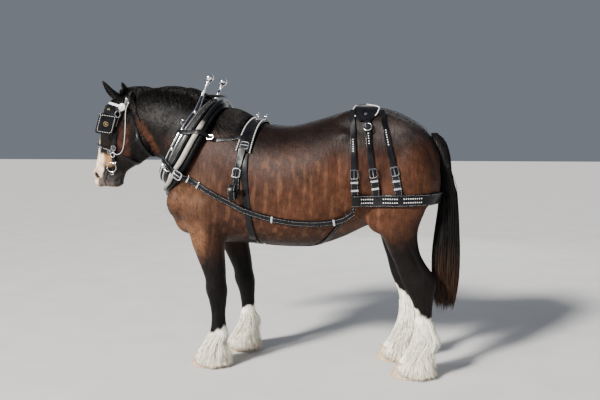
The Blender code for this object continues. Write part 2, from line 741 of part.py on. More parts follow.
def head_skin():
    """The head with the top of the neck, at a finer grain."""
    bm = bmesh.new()
    bridge(bm, sections(NECK, 22, 2.0))
    bridge(bm, sections(HEAD, 36, 2.3))
    for centre, radii, turn in HEAD_FORMS.values():
        for side in (-1, 1):
            add_ball(bm, (centre[0], side * centre[1], centre[2]), radii, turn)
    for side in (-1, 1):
        mirror = Vector((1, side, 1))
        looks = EYE_LOOKS * mirror
        slant = (EYE_SLANT - looks * EYE_SLANT.dot(looks)).normalized()
        rim = circle(EYE * mirror + looks * 0.010, slant * 0.031, looks.cross(slant) * 0.021, 20)
        bridge(bm, tube_rings(rim, 0.0085, looks, 8, True), True)
        opening = circle(NOSTRIL * mirror, Vector((-0.012, 0, 0.022)), Vector((0.006, side * 0.016, 0)), 16)
        bridge(bm, tube_rings(opening, 0.0075, Vector((-0.55, side * 0.8, 0)), 8, True), True)
    return skin_of(bm, HEAD_VOXEL, (8, 4))


def mouth_cutter():
    """A thin curved wedge between the lips, open to the outside and stopped by a core."""
    rows = [Vector((x, 0, z)) for x, z in MOUTH_LINE]
    beside = Vector((0, 0.1, 0))
    bm = bmesh.new()
    rings = []
    for i, point in enumerate(rows):
        along = (rows[min(i + 1, len(rows) - 1)] - rows[max(i - 1, 0)]).normalized()
        across = Vector((along.z, 0, -along.x)) * MOUTH_OPEN / 2
        low, high = point - across, point + across
        rings.append([low - beside, low + beside, high + beside, high - beside])
    bridge(bm, rings)
    wedge = mesh_of(bm)
    bm = bmesh.new()
    add_ball(bm, (-1.405, 0, 1.30), (0.070, 0.048, 0.072))
    return boolean(wedge, [mesh_of(bm)], "DIFFERENCE")


def nostril_cutter(side):
    bm = bmesh.new()
    mirror = Vector((1, side, 1))
    middle = NOSTRIL * mirror - Vector((-0.006, side * 0.008, 0))
    rings = []
    for depth, share in ((-0.016, 0.35), (-0.006, 0.8), (0.012, 1.0), (0.03, 1.0)):
        centre = middle + Vector((-0.5, side * 0.8, 0)) * depth
        up, across = Vector((-0.008, 0, 0.017)), Vector((0.004, side * 0.010, 0))
        rings.append(circle(centre, up * share, across * share, 10))
    bridge(bm, rings)
    return mesh_of(bm)


def eye_mesh(side):
    bm = bmesh.new()
    bmesh.ops.create_uvsphere(bm, u_segments=10, v_segments=6, radius=EYE_RADIUS)
    turn = (EYE_LOOKS * Vector((1, side, 1))).to_track_quat("Z", "Y").to_matrix().to_4x4()
    bmesh.ops.transform(bm, matrix=Matrix.Translation(EYE * Vector((1, side, 1))) @ turn, verts=bm.verts)
    bmesh.ops.triangulate(bm, faces=bm.faces)
    return mesh_of(bm, "eye")


def ear_mesh(side, tip, cup):
    """A leaf-shaped shell, solid at the root and hollow above it."""
    root = Vector((EAR_ROOT.x, side * EAR_ROOT.y, EAR_ROOT.z))
    up = tip.normalized()
    face = (cup - up * cup.dot(up)).normalized()
    across = up.cross(face)
    rings = []
    for share, wide, deep, wrap, hollow in EAR_ROWS:
        middle = root + up * (share * EAR_LENGTH) - face * (0.010 * math.sin(share * math.pi))
        outer = [math.radians(a) for a in np.linspace(-wrap, wrap, 6)]
        inner = [math.radians(a) for a in np.linspace(wrap * 0.84, -wrap * 0.84, 4)]
        ring = [middle + across * wide * math.sin(a) - face * deep * math.cos(a) for a in outer]
        wide, deep = wide * 0.82, deep * hollow
        ring += [middle + across * wide * math.sin(a) - face * deep * math.cos(a) for a in inner]
        rings.append(ring)
    bm = bmesh.new()
    bridge(bm, rings)
    bmesh.ops.triangulate(bm, faces=bm.faces)
    return mesh_of(bm, "ear")


def lock_mesh(path, width, thickness, flat_to):
    """A flat tapered lock of hair along a path of points. flat_to is the way its broad face looks."""
    bm = bmesh.new()
    rings = []
    shares = LOCK_SHARES[len(path)]
    for i, (point, share) in enumerate(zip(path, shares)):
        ahead = (path[i + 1] - path[max(i - 1, 0)]).normalized()
        side = ahead.cross(flat_to[i] if isinstance(flat_to, list) else flat_to).normalized()
        side, face = side * width * share / 2, side.cross(ahead).normalized() * thickness * share / 2
        rings.append([bm.verts.new(point + offset) for offset in (side, face, -side, -face)])
    tip = bm.verts.new(path[-1])
    for below, above in zip(rings, rings[1:]):
        for k in range(4):
            bm.faces.new((below[k], below[(k + 1) % 4], above[(k + 1) % 4], above[k]))
    for k in range(4):
        bm.faces.new((rings[-1][k], rings[-1][(k + 1) % 4], tip))
    bm.faces.new(rings[0][::-1])
    bmesh.ops.triangulate(bm, faces=bm.faces)
    return mesh_of(bm, "lock")


def plane_along(top, bottom):
    """A plane that holds the Y axis and two points of the x-z plane. Its normal looks forward."""
    along = (bottom - top).normalized()
    return top, Vector((along.z, 0, -along.x)) if along.z < 0 else Vector((-along.z, 0, along.x))


THROAT_PLANE = plane_along(Vector((-1.205, 0, 1.93)), Vector((-1.035, 0, 1.48)))
COLLAR_PLANE = plane_along(COLLAR_TOP, COLLAR_BOTTOM)


def flipped(plane):
    return plane[0], -plane[1]


def level_plane(z, up=1):
    return Vector((0, 0, z)), Vector((0, 0, up))


def hoof_mesh(side, stride, table, spread):
    """A horn capsule: a round toe, flat under, that widens to the ground."""
    toe_out, heel_out = 0.052, 0.012
    z, front, back, width = table[-1]
    shift = swing(0.05, stride)
    bm = bmesh.new()
    rings = []
    for share in (0.0, 0.14, 1.0):
        height = (CORONET - GAP) * share
        grow = 1 - share
        rings.append(
            oval(
                (front - toe_out * grow - 0.006 + shift, height),
                (back + heel_out * grow - 0.004 + shift, height),
                width + 0.006 + 0.014 * grow,
                side * spread,
                0.50,
                2.15,
                16,
            )
        )
    bridge(bm, rings)
    bmesh.ops.triangulate(bm, faces=bm.faces)
    return mesh_of(bm, "hoof")


def bell_mesh(side, stride, table, spread, top):
    """The bulk of the long hair of a foot, half way out to the tips of its locks."""
    rows = resample(table, 60)
    bm = bmesh.new()
    rings = []
    for height in np.linspace(top - 0.05, 0.060, 5):
        z, front, back, width = min(rows, key=lambda row: abs(row[0] - height))
        drop_share = (top - 0.05 - height) / (top - 0.11)
        flare = FEATHER_SPILL / 2 * drop_share**0.8 - 0.004 * (1 - drop_share)
        shift = swing(height, stride)
        front_x, back_x = front + shift - 0.75 * flare, back + shift + 1.15 * flare
        rings.append(oval((front_x, height), (back_x, height), width + flare, side * spread, 0.5, 2.1, 10))
    bridge(bm, rings)
    bmesh.ops.triangulate(bm, faces=bm.faces)
    return mesh_of(bm, "bell")


def feather_locks(rng, side, stride, table, spread, top):
    """Long hair of a foot, in tiers that hang over the hoof, longest behind the fetlock."""
    locks = []
    rows = resample(table, 60)
    for tier, (height, count, length) in enumerate(FEATHER_TIERS):
        height = min(height, top - 0.05)
        z, front, back, width = min(rows, key=lambda row: abs(row[0] - height))
        middle = Vector(((front + back) / 2 + swing(height, stride), side * spread, height))
        for k in range(count):
            turn = math.tau * (k + 0.5 * (tier % 2) + rng.uniform(-0.12, 0.12)) / count
            behind = 0.5 + 0.5 * math.cos(turn)  # 1 behind the leg, 0 in front
            if tier == 0 and behind < 0.2:
                continue
            out = Vector((math.cos(turn), math.sin(turn), 0))
            reach = Vector((out.x * (back - front) / 2, out.y * width, 0))
            long = length * (0.78 + 0.36 * behind) * rng.uniform(0.92, 1.08)
            long = min(long, height - 0.012 - rng.uniform(0, 0.02))
            spill = FEATHER_SPILL * (0.80 + 0.40 * behind) + rng.uniform(-0.006, 0.008)
            shares = ((0.70, 0.0, 0.0), (1.0, 0.26, 0.25), (1.0, 0.66, 0.62), (1.0, 1.0, 1.0))
            path = [middle + reach * r + out * spill * s + Vector((0, 0, -long * t)) for r, s, t in shares]
            path[2] += out * (0.004 + 0.012 * (k % 2))
            locks.append(lock_mesh(path, 0.088 * rng.uniform(0.9, 1.1), 0.018, out))
    return locks


def build_legs(skin):
    meshes = {}
    legs = [(n, s, t, FORE_LEG, LEG_SPREAD_FORE, FOOT_CUT_FORE) for n, (s, t) in LEGS_FORE.items()]
    legs += [(n, s, t, HIND_LEG, LEG_SPREAD_HIND, FOOT_CUT_HIND) for n, (s, t) in LEGS_HIND.items()]
    for index, (name, side, stride, table, spread, foot_cut) in enumerate(legs):
        rng = random.Random(40 + index)
        beside = (Vector((0, 0, 0)), Vector((0, -side, 0)))
        before = (Vector((0.05, 0, 0)), Vector((1 if table is FORE_LEG else -1, 0, 0)))
        leg = carve(skin, [beside, before, level_plane(LEG_CUT), level_plane(foot_cut, -1)], LEG_TRIANGLES)
        foot = carve(skin, [beside, before, level_plane(foot_cut), level_plane(CORONET, -1)], FOOT_TRIANGLES)
        hoof = hoof_mesh(side, stride, table, spread)
        hair = [bell_mesh(side, stride, table, spread, foot_cut)]
        hair += feather_locks(rng, side, stride, table, spread, foot_cut)
        foot = boolean(foot, hair, "UNION")
        foot = boolean(foot, [inflated(hoof, 0.001)], "DIFFERENCE")
        meshes["leg_" + name] = (leg, "coat_black")
        meshes["foot_" + name] = (foot, "coat_white")
        meshes["hoof_" + name] = (hoof, "horn")
    return meshes


def tail_mesh(torso):
    """The tail: a core over the dock, and locks from it that hang to the hocks."""
    rng = random.Random(71)
    rows = resample(TAIL, 60)
    bm = bmesh.new()
    rings = []
    for x, z, deep, wide in resample(TAIL, 9):
        lean = 0.75 * max(0.0, (z - 1.42) / 0.18)
        along, up = Vector((1, 0, lean)).normalized() * deep, Vector((0, wide, 0))
        rings.append(circle((x, 0, z), along, up, 12))
    bridge(bm, rings)
    bmesh.ops.triangulate(bm, faces=bm.faces)
    core = mesh_of(bm, "tail")
    locks = []
    for tier, (height, count, length) in enumerate(TAIL_TIERS):
        x, z, deep, wide = min(rows, key=lambda row: abs(row[1] - height))
        for k in range(count):
            turn = math.tau * (k + 0.5 * (tier % 2) + rng.uniform(-0.15, 0.15)) / count
            out = Vector((math.cos(turn), math.sin(turn), 0))
            long = length * rng.uniform(0.90, 1.08)
            tip = max(TAIL_END + rng.uniform(0, 0.05), height - long)
            path = []
            layer = 0.90 + 0.20 * (k % 2)
            for share, spill in TAIL_SPREAD:
                level = height + (tip - height) * share
                cx, cz, cd, cw = min(rows, key=lambda row: abs(row[1] - level))
                deep = cd + 0.055 * min(1.0, max(0.0, (1.25 - level) / 0.40))
                spread = Vector((out.x * deep, out.y * cw, 0)) * spill * layer
                path.append(Vector((cx, 0, level)) + spread)
            locks.append(lock_mesh(path, 0.096 * rng.uniform(0.88, 1.12), 0.026, out))
    return boolean(boolean(core, locks, "UNION"), [inflated(torso, GAP * 1.5)], "DIFFERENCE")


def mane_locks(neck):
    """Locks that stand up from the crest and fall over the right side, some over the left."""
    rng = random.Random(17)
    tree = tree_of(neck)
    crest = [(row[0], row[1]) for row in resample(NECK, 60)]
    locks = []
    for k in range(MANE_COUNT):
        share = min(max((k + rng.uniform(-0.25, 0.25)) / (MANE_COUNT - 1), 0), 1)
        x = MANE_FROM + (MANE_TO - MANE_FROM) * share
        z = min(crest, key=lambda point: abs(point[0] - x))[1]
        side = -1 if k % 4 == 1 else 1
        layer = k % 2
        fall = MANE_FALL[side] * rng.uniform(0.85, 1.15)
        path = [
            Vector((x - 0.015, -side * 0.012, z - 0.03)),
            Vector((x + 0.010, side * 0.006, z + MANE_RISE * (0.75 + 0.5 * layer))),
        ]
        for down in (0.035, 0.035 + 0.45 * fall, 0.035 + fall):
            at = Vector((x + 0.02 + 0.10 * down, side * 0.5, z - down))
            hit = tree.ray_cast(at, Vector((0, -side, 0)), 0.5)
            beside = abs(hit[0].y) if hit[0] else 0.03
            path.append(Vector((at.x, side * (beside + 0.008 + 0.014 * layer), at.z)))
        faces = [Vector((0, side, height)) for height in (0.05, 0.6, 0.2, 0.1)]
        locks.append(lock_mesh(path, 0.086 * rng.uniform(0.9, 1.1), 0.013, faces))
    return locks


def forelock_locks(head):
    """A few short locks from between the ears down the forehead."""
    rng = random.Random(5)
    tree = tree_of(head)
    locks = []
    for k in range(4):
        y = 0.016 * (k - 1.5) + rng.uniform(-0.003, 0.003)
        path = [Vector((-1.262, y * 0.6, 1.862))]
        for z, spread in ((1.870, 0.8), (1.83, 1.1), (1.775, 1.5), (1.70 + rng.uniform(-0.02, 0.03), 1.7)):
            hit = tree.ray_cast(Vector((-1.7, y * spread, z)), Vector((1, 0, 0)), 0.6)
            x = hit[0].x if hit[0] else -1.30
            path.append(Vector((x - 0.012, y * spread, z)))
        locks.append(lock_mesh(path, 0.036 * rng.uniform(0.85, 1.15), 0.014, Vector((-1, 0, 0.25))))
    return locks


def build_body():
    skin = body_skin()
    torso = carve(skin, [COLLAR_PLANE, level_plane(LEG_CUT, -1)], TORSO_TRIANGLES)
    neck = carve(skin, [flipped(COLLAR_PLANE), THROAT_PLANE], NECK_TRIANGLES)
    head = carve(head_skin(), [flipped(THROAT_PLANE)], HEAD_TRIANGLES)
    eyes = {"eye_left": eye_mesh(-1), "eye_right": eye_mesh(1)}
    head = boolean(head, [inflated(eye, GAP) for eye in eyes.values()], "DIFFERENCE")
    head = boolean(head, [nostril_cutter(-1), nostril_cutter(1), mouth_cutter()], "DIFFERENCE")
    head = boolean(head, forelock_locks(head), "UNION")
    head = keep_side(head, THROAT_PLANE[0] + THROAT_PLANE[1] * GAP / 2, -THROAT_PLANE[1])
    meshes = {"torso": (torso, "coat_bay"), "neck": (neck, "coat_bay"), "head": (head, "coat_bay")}
    for name, eye in eyes.items():
        meshes[name] = (eye, "eye")
    for name, (side, tip, cup) in EARS.items():
        meshes[name] = (clear_of(ear_mesh(side, tip, cup), [head]), "coat_bay")
    meshes.update(build_legs(skin))
    meshes["tail"] = (tail_mesh(torso), "hair_black")
    return meshes


def hame_mesh(side, collar):
    """A metal bar in the groove of the collar that rises to a ball."""
    tree = tree_of(collar)
    up = (COLLAR_TOP - COLLAR_BOTTOM).normalized()
    ahead = COLLAR_PLANE[1]
    line, radii = [], []
    ball = Vector((HAME_BALL.x, side * HAME_BALL.y, HAME_BALL.z))
    lean = Vector((-0.14, -side * 0.02, -1)).normalized()
    for share in (0.97, 0.78, 0.32, -0.32, -0.78):
        line.append(ball - lean * HAME_BALL_RADIUS * share)
        radii.append(HAME_BALL_RADIUS * math.sqrt(1 - share * share))
    line.append(ball + lean * 0.05)
    radii.append(HAME_RADIUS * 0.8)
    for angle in range(36, 172, 17):
        out = up * math.cos(math.radians(angle)) + Vector((0, side * math.sin(math.radians(angle)), 0))
        at = COLLAR_MIDDLE + ahead * HAME_AHEAD
        hit = tree.ray_cast(at + out * 0.7, -out, 0.7)
        line.append(hit[0] + out * (HAME_RADIUS + 0.009))
        radii.append(HAME_RADIUS)
    return tube(line, radii, ahead, 6)


def sided(points, side):
    """Points of the left side, or the same on the right."""
    return [(x, -side * y, z) for x, y, z in points]


def build_harness(meshes):
    """Straps and metal, each laid on what is already there."""
    placed = {name: mesh for name, (mesh, material) in meshes.items()}
    tail = placed.pop("tail")
    made = {}
    up = (COLLAR_TOP - COLLAR_BOTTOM).normalized()
    trunk_axis = away_from((-1, 0, 1.22), (1, 0, 1.22))
    rear_axis = away_from((0.42, 0, 0), (0.42, 0, 2))
    breast_axis = away_from((-0.62, -1, 1.22), (-0.62, 1, 1.22))
    head_axis = away_from((-1.20, 0, 1.78), (-1.42, 0, 1.27))
    throat_axis = away_from((-1.15, 0, 1.68), (-1.15 - 0.96, 0, 1.68 - 0.27))

    def outward(p):
        return Vector((0, math.copysign(1, p.y), 0))

    def put(name, mesh, material="black_leather"):
        placed[name] = clear_of(mesh, list(placed.values()))
        made[name] = (placed[name], material)

    def lay(name, points, width, thickness, under, aim, closed=False, material="black_leather", **more):
        band = strap(points, width, thickness, [placed[n] for n in under], aim, closed, **more)
        put(name, band, material)

    middle = COLLAR_MIDDLE - COLLAR_PLANE[1] * 0.03
    loop = circle(middle, up * COLLAR_ABOVE, Vector((0, -0.235, 0)), 12)
    loop = [p - up * min(0, (p - middle).dot(up)) * (1 - COLLAR_BELOW / COLLAR_ABOVE) for p in loop]
    radial = away_from(COLLAR_MIDDLE, COLLAR_MIDDLE + COLLAR_PLANE[1])

    def around(p):
        """Out of the neck, and more and more forward towards the lower end, which lies on the breast."""
        low = max(0, (middle - p).dot(up) / COLLAR_BELOW)
        return (radial(p) + COLLAR_PLANE[1] * min(1, low) ** 2).normalized()

    under = ("torso", "neck")
    lay("collar", loop, COLLAR_WIDTHS, COLLAR_PROFILE, under, around, True, ring_step=0.095, reach=0.25)
    bare_neck = placed["neck"]
    neck = boolean(bare_neck, mane_locks(bare_neck), "UNION")
    neck = boolean(neck, [inflated(placed["collar"], GAP)], "DIFFERENCE")
    neck = keep_side(neck, THROAT_PLANE[0] - THROAT_PLANE[1] * GAP / 2, THROAT_PLANE[1])
    neck = keep_side(neck, COLLAR_PLANE[0] + COLLAR_PLANE[1] * GAP / 2, -COLLAR_PLANE[1])
    placed["neck"] = neck
    made["neck"] = (neck, meshes["neck"][1])
    for side, name in ((-1, "left"), (1, "right")):
        put("hame_" + name, hame_mesh(side, placed["collar"]), "chrome")

    lay("back_pad", PAD, 0.125, 0.012, ("torso",), trunk_axis)
    lay("girth", GIRTH, 0.045, 0.006, ("torso", "back_pad"), trunk_axis)
    for side, name in ((-1, "left"), (1, "right")):
        under = ("torso", "back_pad", "girth")
        lay("tug_strap_" + name, sided(TUG_STRAP, side), 0.038, 0.006, under, trunk_axis)
        middle = Vector((TUG.x, side * TUG.y, TUG.z))
        rim = circle(middle, Vector((0, 0.030, 0)), Vector((0, 0, 0.044)), 12)
        put("tug_" + name, tube(rim, 0.0055, Vector((1, 0, 0)), 4, True, 4.2))
    lay("hip_plate", HIP_PLATE, HIP_PLATE_WIDTHS, 0.006, ("torso",), trunk_axis)
    lay("back_strap", BACK_STRAP, 0.026, 0.006, ("torso", "back_pad", "hip_plate"), trunk_axis)
    for side, name in ((-1, "left"), (1, "right")):
        for place, points in HIP_STRAPS.items():
            under = ("torso", "hip_plate", "back_strap")
            lay("hip_strap_" + place + "_" + name, sided(points, side), 0.036, 0.006, under, trunk_axis)
    under = ["torso"] + [n for n in placed if n.startswith("hip_strap")]
    rear = BREECHING + [(x, -y, z) for x, y, z in BREECHING[-2::-1]]
    lay("breeching", rear, 0.076, 0.009, under, rear_axis, ring_step=0.075)
    for side, name in ((-1, "left"), (1, "right")):
        under = ("torso", "breeching")
        lay("quarter_strap_" + name, sided(QUARTER_STRAP, side), 0.030, 0.006, under, trunk_axis)
        under = ("torso", "girth", "quarter_strap_" + name)
        lay("trace_" + name, sided(TRACE, side), 0.044, 0.011, under, outward)
    lay("martingale", MARTINGALE, 0.034, 0.006, ("torso",), breast_axis)

    lay("browband", BROWBAND, 0.024, 0.005, ("head",), head_axis, material="white_trim")
    lay("crown", CROWN, 0.034, 0.006, ("head", "neck"), head_axis)
    lay("noseband", NOSEBAND, 0.026, 0.006, ("head",), head_axis, True, ring_step=0.05)
    lay("throatlatch", THROATLATCH, 0.020, 0.005, ("head", "neck", "crown"), throat_axis)
    for side, name in ((-1, "left"), (1, "right")):
        under = ("head", "noseband", "crown", "browband")
        lay("cheek_" + name, sided(CHEEK, side), 0.026, 0.006, under, head_axis, ring_step=0.05)
        put("blinder_" + name, plate(sided(BLINDER, side), 0.007))
        mirror = Vector((1, side, 1))
        looks = Vector((-0.12, side, 0.05)).normalized()
        bm = bmesh.new()
        rings = []
        for deep, radius in ROSETTE_TURN:
            middle = ROSETTE * mirror + looks * deep
            rings.append(circle(middle, Vector((1, 0, 0.12)) * radius, Vector((0, 0, 1)) * radius, 12))
        bridge(bm, rings)
        put("rosette_" + name, mesh_of(bm), "white_trim")
        ring = circle(BIT_RING * mirror, (0.036, 0, 0), (0, 0, 0.036), 14)
        put("bit_ring_" + name, tube(ring, 0.0042, Vector((0, 1, 0)), 4, True), "chrome")
        cord = smooth_line(sided(CHEEK_CORD, side), 0.045)
        put("cheek_cord_" + name, tube(cord, 0.0035, Vector((0, 1, 0)), 4), "white_trim")
    made["tail"] = (clear_of(tail, [placed["breeching"], placed["back_strap"]]), meshes["tail"][1])
    return made


def centre(nodes):
    """Moves every node so that the middle of the whole box is over the origin."""
    corners = np.array([vertex.co for node in nodes for vertex in node.data.vertices])
    low, high = corners.min(0), corners.max(0)
    shift = Vector((-(low[0] + high[0]) / 2, -(low[1] + high[1]) / 2, -low[2]))
    for node in nodes:
        node.data.transform(Matrix.Translation(shift))
    print("moved by", *(round(value, 5) for value in shift))


def main():
    meshes = build_body()
    meshes.update(build_harness(meshes))
    centre([add_node(name, mesh, material) for name, (mesh, material) in meshes.items()])


main()
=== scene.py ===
import math

import bmesh
import bpy
import numpy as np
from mathutils import Matrix, Vector
from mathutils.bvhtree import BVHTree


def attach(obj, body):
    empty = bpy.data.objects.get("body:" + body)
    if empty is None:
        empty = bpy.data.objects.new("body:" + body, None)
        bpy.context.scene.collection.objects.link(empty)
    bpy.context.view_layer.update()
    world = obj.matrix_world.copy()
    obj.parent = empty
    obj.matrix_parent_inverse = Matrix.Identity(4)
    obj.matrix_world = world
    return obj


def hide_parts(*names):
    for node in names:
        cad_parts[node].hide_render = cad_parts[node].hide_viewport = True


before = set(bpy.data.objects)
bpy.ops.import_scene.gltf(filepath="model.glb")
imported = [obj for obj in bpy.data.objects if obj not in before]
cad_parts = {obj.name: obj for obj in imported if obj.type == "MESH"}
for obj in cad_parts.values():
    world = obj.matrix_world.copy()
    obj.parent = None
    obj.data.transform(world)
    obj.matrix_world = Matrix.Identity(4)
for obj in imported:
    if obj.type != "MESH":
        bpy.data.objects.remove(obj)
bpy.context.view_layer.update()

# The horse is built round its own middle, then moved to the middle of the CAD box
horseShift = Vector((0.20862, 0, 0))

# Camera where the photograph was taken from, in the horse's own frame
cameraPlace = {"stands": (0.878, -4.516, 1.52), "turned": 11.0, "lookingDown": 4.72, "lens": 39.96}
direction = math.radians(cameraPlace["turned"]), math.radians(cameraPlace["lookingDown"])
cameraData = bpy.data.cameras.new("photoCamera")
cameraData.lens = cameraPlace["lens"]
cameraData.sensor_width = 36
photoCamera = bpy.data.objects.new("photoCamera", cameraData)
photoCamera.location = Vector(cameraPlace["stands"]) + horseShift
photoCamera.rotation_euler = (math.pi / 2 - direction[1], 0, direction[0])
bpy.context.scene.collection.objects.link(photoCamera)
bpy.context.scene.camera = photoCamera


# Small tools used by every piece

def smoothStep(values, low, high):
    share = np.clip((np.asarray(values, float) - low) / (high - low), 0, 1)
    return share * share * (3 - 2 * share)


def ripple(points, size, seed):
    # a soft irregular field between about -1 and 1, from a few crossing waves
    rng = np.random.default_rng(seed)
    total = np.zeros(len(points))
    for octave in range(7):
        way = rng.normal(size=3)
        way /= np.linalg.norm(way)
        total += np.sin(points @ way * (2 * math.pi / size) * rng.uniform(0.6, 1.9) + rng.uniform(0, 6.3))
    return total / 3.2


def newObject(name, mesh, material=None, smooth=True):
    piece = bpy.data.objects.new(name, mesh)
    mesh.name = name
    if material:
        mesh.materials.clear()
        mesh.materials.append(material)
    bpy.context.scene.collection.objects.link(piece)
    if smooth:
        mesh.shade_smooth()
    return piece


def finishedMesh(obj):
    graph = bpy.context.evaluated_depsgraph_get()
    made = bpy.data.meshes.new_from_object(obj.evaluated_get(graph), depsgraph=graph)
    bpy.data.objects.remove(obj, do_unlink=True)
    return made


def meshFrom(bm, outward=True):
    if outward:
        bmesh.ops.recalc_face_normals(bm, faces=bm.faces)
    made = bpy.data.meshes.new("shape")
    bm.to_mesh(made)
    bm.free()
    return made


def pointsOf(mesh, what="co"):
    flat = np.zeros(len(mesh.vertices) * 3)
    mesh.vertices.foreach_get(what, flat)
    return flat.reshape(-1, 3)


def setPoints(mesh, points):
    mesh.vertices.foreach_set("co", np.asarray(points, float).ravel())
    mesh.update()


def resample(rows, count):
    # rows of numbers read at even steps of a smooth curve through them
    rows = np.array(rows, float)
    steps = np.linalg.norm(np.diff(rows[:, :2], axis=0), axis=1)
    keys = np.concatenate([[0], np.cumsum(np.maximum(steps, 1e-4))])
    slopes = np.diff(rows, axis=0) / np.diff(keys)[:, None]
    tangents = np.vstack([slopes[:1], (slopes[1:] + slopes[:-1]) / 2, slopes[-1:]])
    made = []
    for key in np.linspace(0, keys[-1], count):
        i = min(max(int(np.searchsorted(keys, key, "right")) - 1, 0), len(keys) - 2)
        span = keys[i + 1] - keys[i]
        t = (key - keys[i]) / span
        made.append(
            (2 * t**3 - 3 * t**2 + 1) * rows[i]
            + (t**3 - 2 * t**2 + t) * span * tangents[i]
            + (3 * t**2 - 2 * t**3) * rows[i + 1]
            + (t**3 - t**2) * span * tangents[i + 1]
        )
    return np.array(made)


def bridge(bm, rings, closed=False):
    made = [[bm.verts.new(p) for p in ring] for ring in rings]
    pairs = list(zip(made, made[1:])) + ([(made[-1], made[0])] if closed else [])
    for below, above in pairs:
        for k in range(len(below)):
            after = (k + 1) % len(below)
            bm.faces.new((below[k], below[after], above[after], above[k]))
    if not closed:
        bm.faces.new(made[0][::-1])
        bm.faces.new(made[-1])


def smoothLine(points, step, closed=False):
    # evenly stepped points of a smooth line through the given ones
    points = [Vector(p) for p in points]
    count = len(points)
    dense = []
    for i in range(count if closed else count - 1):
        at = [(i + k) % count if closed else min(max(i + k, 0), count - 1) for k in (-1, 0, 1, 2)]
        a, b, c, d = (points[k] for k in at)
        for t in np.linspace(0, 1, 24, endpoint=False):
            bend = (2 * a - 5 * b + 4 * c - d) * t * t + (3 * b - a - 3 * c + d) * t**3
            dense.append((2 * b + (c - a) * t + bend) / 2)
    dense.append(points[0] if closed else points[-1])
    lengths = np.concatenate([[0], np.cumsum([(b - a).length for a, b in zip(dense, dense[1:])])])
    keys = np.linspace(0, lengths[-1], max(3, round(lengths[-1] / step)) + 1)
    made = [Vector(p) for p in zip(*(np.interp(keys, lengths, [p[i] for p in dense]) for i in range(3)))]
    return made[:-1] if closed else made


def circle(centre, u, v, count):
    turns = [math.tau * k / count for k in range(count)]
    return [Vector(centre) + Vector(u) * math.cos(a) + Vector(v) * math.sin(a) for a in turns]


def aheadAt(line, i, closed=False):
    # the way along a line at one of its points
    count = len(line)
    before = line[(i - 1) % count] if closed else line[max(i - 1, 0)]
    after = line[(i + 1) % count] if closed else line[min(i + 1, count - 1)]
    return (after - before).normalized()


def signedPower(value, power):
    return math.copysign(abs(value) ** power, value)


def tubeRings(line, radii, face, sides=8, closed=False, flat=1.0):
    # rings across a line; face is a way that the line never takes, flat squeezes them that way
    rings = []
    for i, point in enumerate(line):
        ahead = aheadAt(line, i, closed)
        side = ahead.cross(face[i] if isinstance(face, list) else face).normalized()
        up = side.cross(ahead).normalized()
        radius = radii[i] if isinstance(radii, (list, tuple)) else radii
        angles = [math.tau * (k + 0.5) / sides for k in range(sides)]
        rings.append([point + (side * math.cos(a) + up * math.sin(a) * flat) * radius for a in angles])
    return rings


def oval(front, back, width, y=0.0, level=0.5, roundness=2.2, sides=28):
    # a ring about the line from one point of the middle plane to another, widest at that level of it
    front, back = Vector((front[0], y, front[1])), Vector((back[0], y, back[1]))
    middle = front.lerp(back, level)
    points = []
    for k in range(sides):
        angle = math.tau * k / sides
        across = signedPower(math.cos(angle), 2 / roundness)
        along = abs(math.sin(angle)) ** (2 / roundness)
        end = front if math.sin(angle) > 0 else back
        points.append(middle.lerp(end, along) + Vector((0, width * across, 0)))
    return points


def addPairs(bm, forms, rings=14):
    # an egg shape on each side for every centre, radii and turn about Y in degrees
    for (x, y, z), radii, turn in forms:
        for side in (-1, 1):
            matrix = Matrix.Translation((x, side * y, z)) @ Matrix.Rotation(math.radians(turn), 4, "Y")
            matrix = matrix @ Matrix.Diagonal((*radii, 1))
            bmesh.ops.create_uvsphere(bm, u_segments=2 * rings, v_segments=rings, radius=1, matrix=matrix)


def patch(x, z, place, size):
    # a soft spot seen from the side, 1 in its middle
    return np.exp(-((x - place[0]) / size[0]) ** 2 - ((z - place[1]) / size[1]) ** 2)


# Sections of the body: x, top, bottom, half width, level of the widest place
trunkRows = (
    (-0.87, 1.3, 1.03, 0.13, 0.55), (-0.82, 1.5, 0.93, 0.225, 0.55), (-0.72, 1.66, 0.85, 0.285, 0.55),
    (-0.56, 1.755, 0.835, 0.315, 0.52), (-0.42, 1.745, 0.84, 0.335, 0.52), (-0.25, 1.675, 0.835, 0.36, 0.52),
    (-0.05, 1.65, 0.825, 0.378, 0.52), (0.15, 1.695, 0.84, 0.375, 0.5), (0.32, 1.745, 0.9, 0.352, 0.47),
    (0.48, 1.772, 0.98, 0.335, 0.44), (0.64, 1.745, 1.03, 0.31, 0.45), (0.78, 1.675, 1.09, 0.265, 0.45),
    (0.88, 1.59, 1.17, 0.195, 0.48), (0.945, 1.46, 1.27, 0.1, 0.5),
)
# Neck and head: upper x, z, lower x, z, half width, level of the widest place
neckRows = (
    (-0.5, 1.72, -0.81, 1.05, 0.235, 0.6), (-0.67, 1.805, -0.905, 1.22, 0.188, 0.62),
    (-0.84, 1.875, -0.962, 1.36, 0.15, 0.62), (-1.0, 1.905, -1.025, 1.455, 0.118, 0.6),
    (-1.15, 1.893, -1.065, 1.535, 0.105, 0.56), (-1.27, 1.85, -1.11, 1.6, 0.095, 0.5),
)
headRows = (
    (-1.285, 1.885, -1.13, 1.67, 0.075, 0.4), (-1.375, 1.835, -1.085, 1.59, 0.105, 0.34),
    (-1.432, 1.745, -1.075, 1.485, 0.116, 0.28), (-1.462, 1.64, -1.135, 1.415, 0.098, 0.3),
    (-1.484, 1.53, -1.225, 1.365, 0.078, 0.38), (-1.503, 1.43, -1.285, 1.325, 0.066, 0.45),
    (-1.522, 1.34, -1.305, 1.28, 0.066, 0.42), (-1.52, 1.275, -1.315, 1.245, 0.06, 0.42),
    (-1.49, 1.225, -1.35, 1.218, 0.045, 0.45),
)
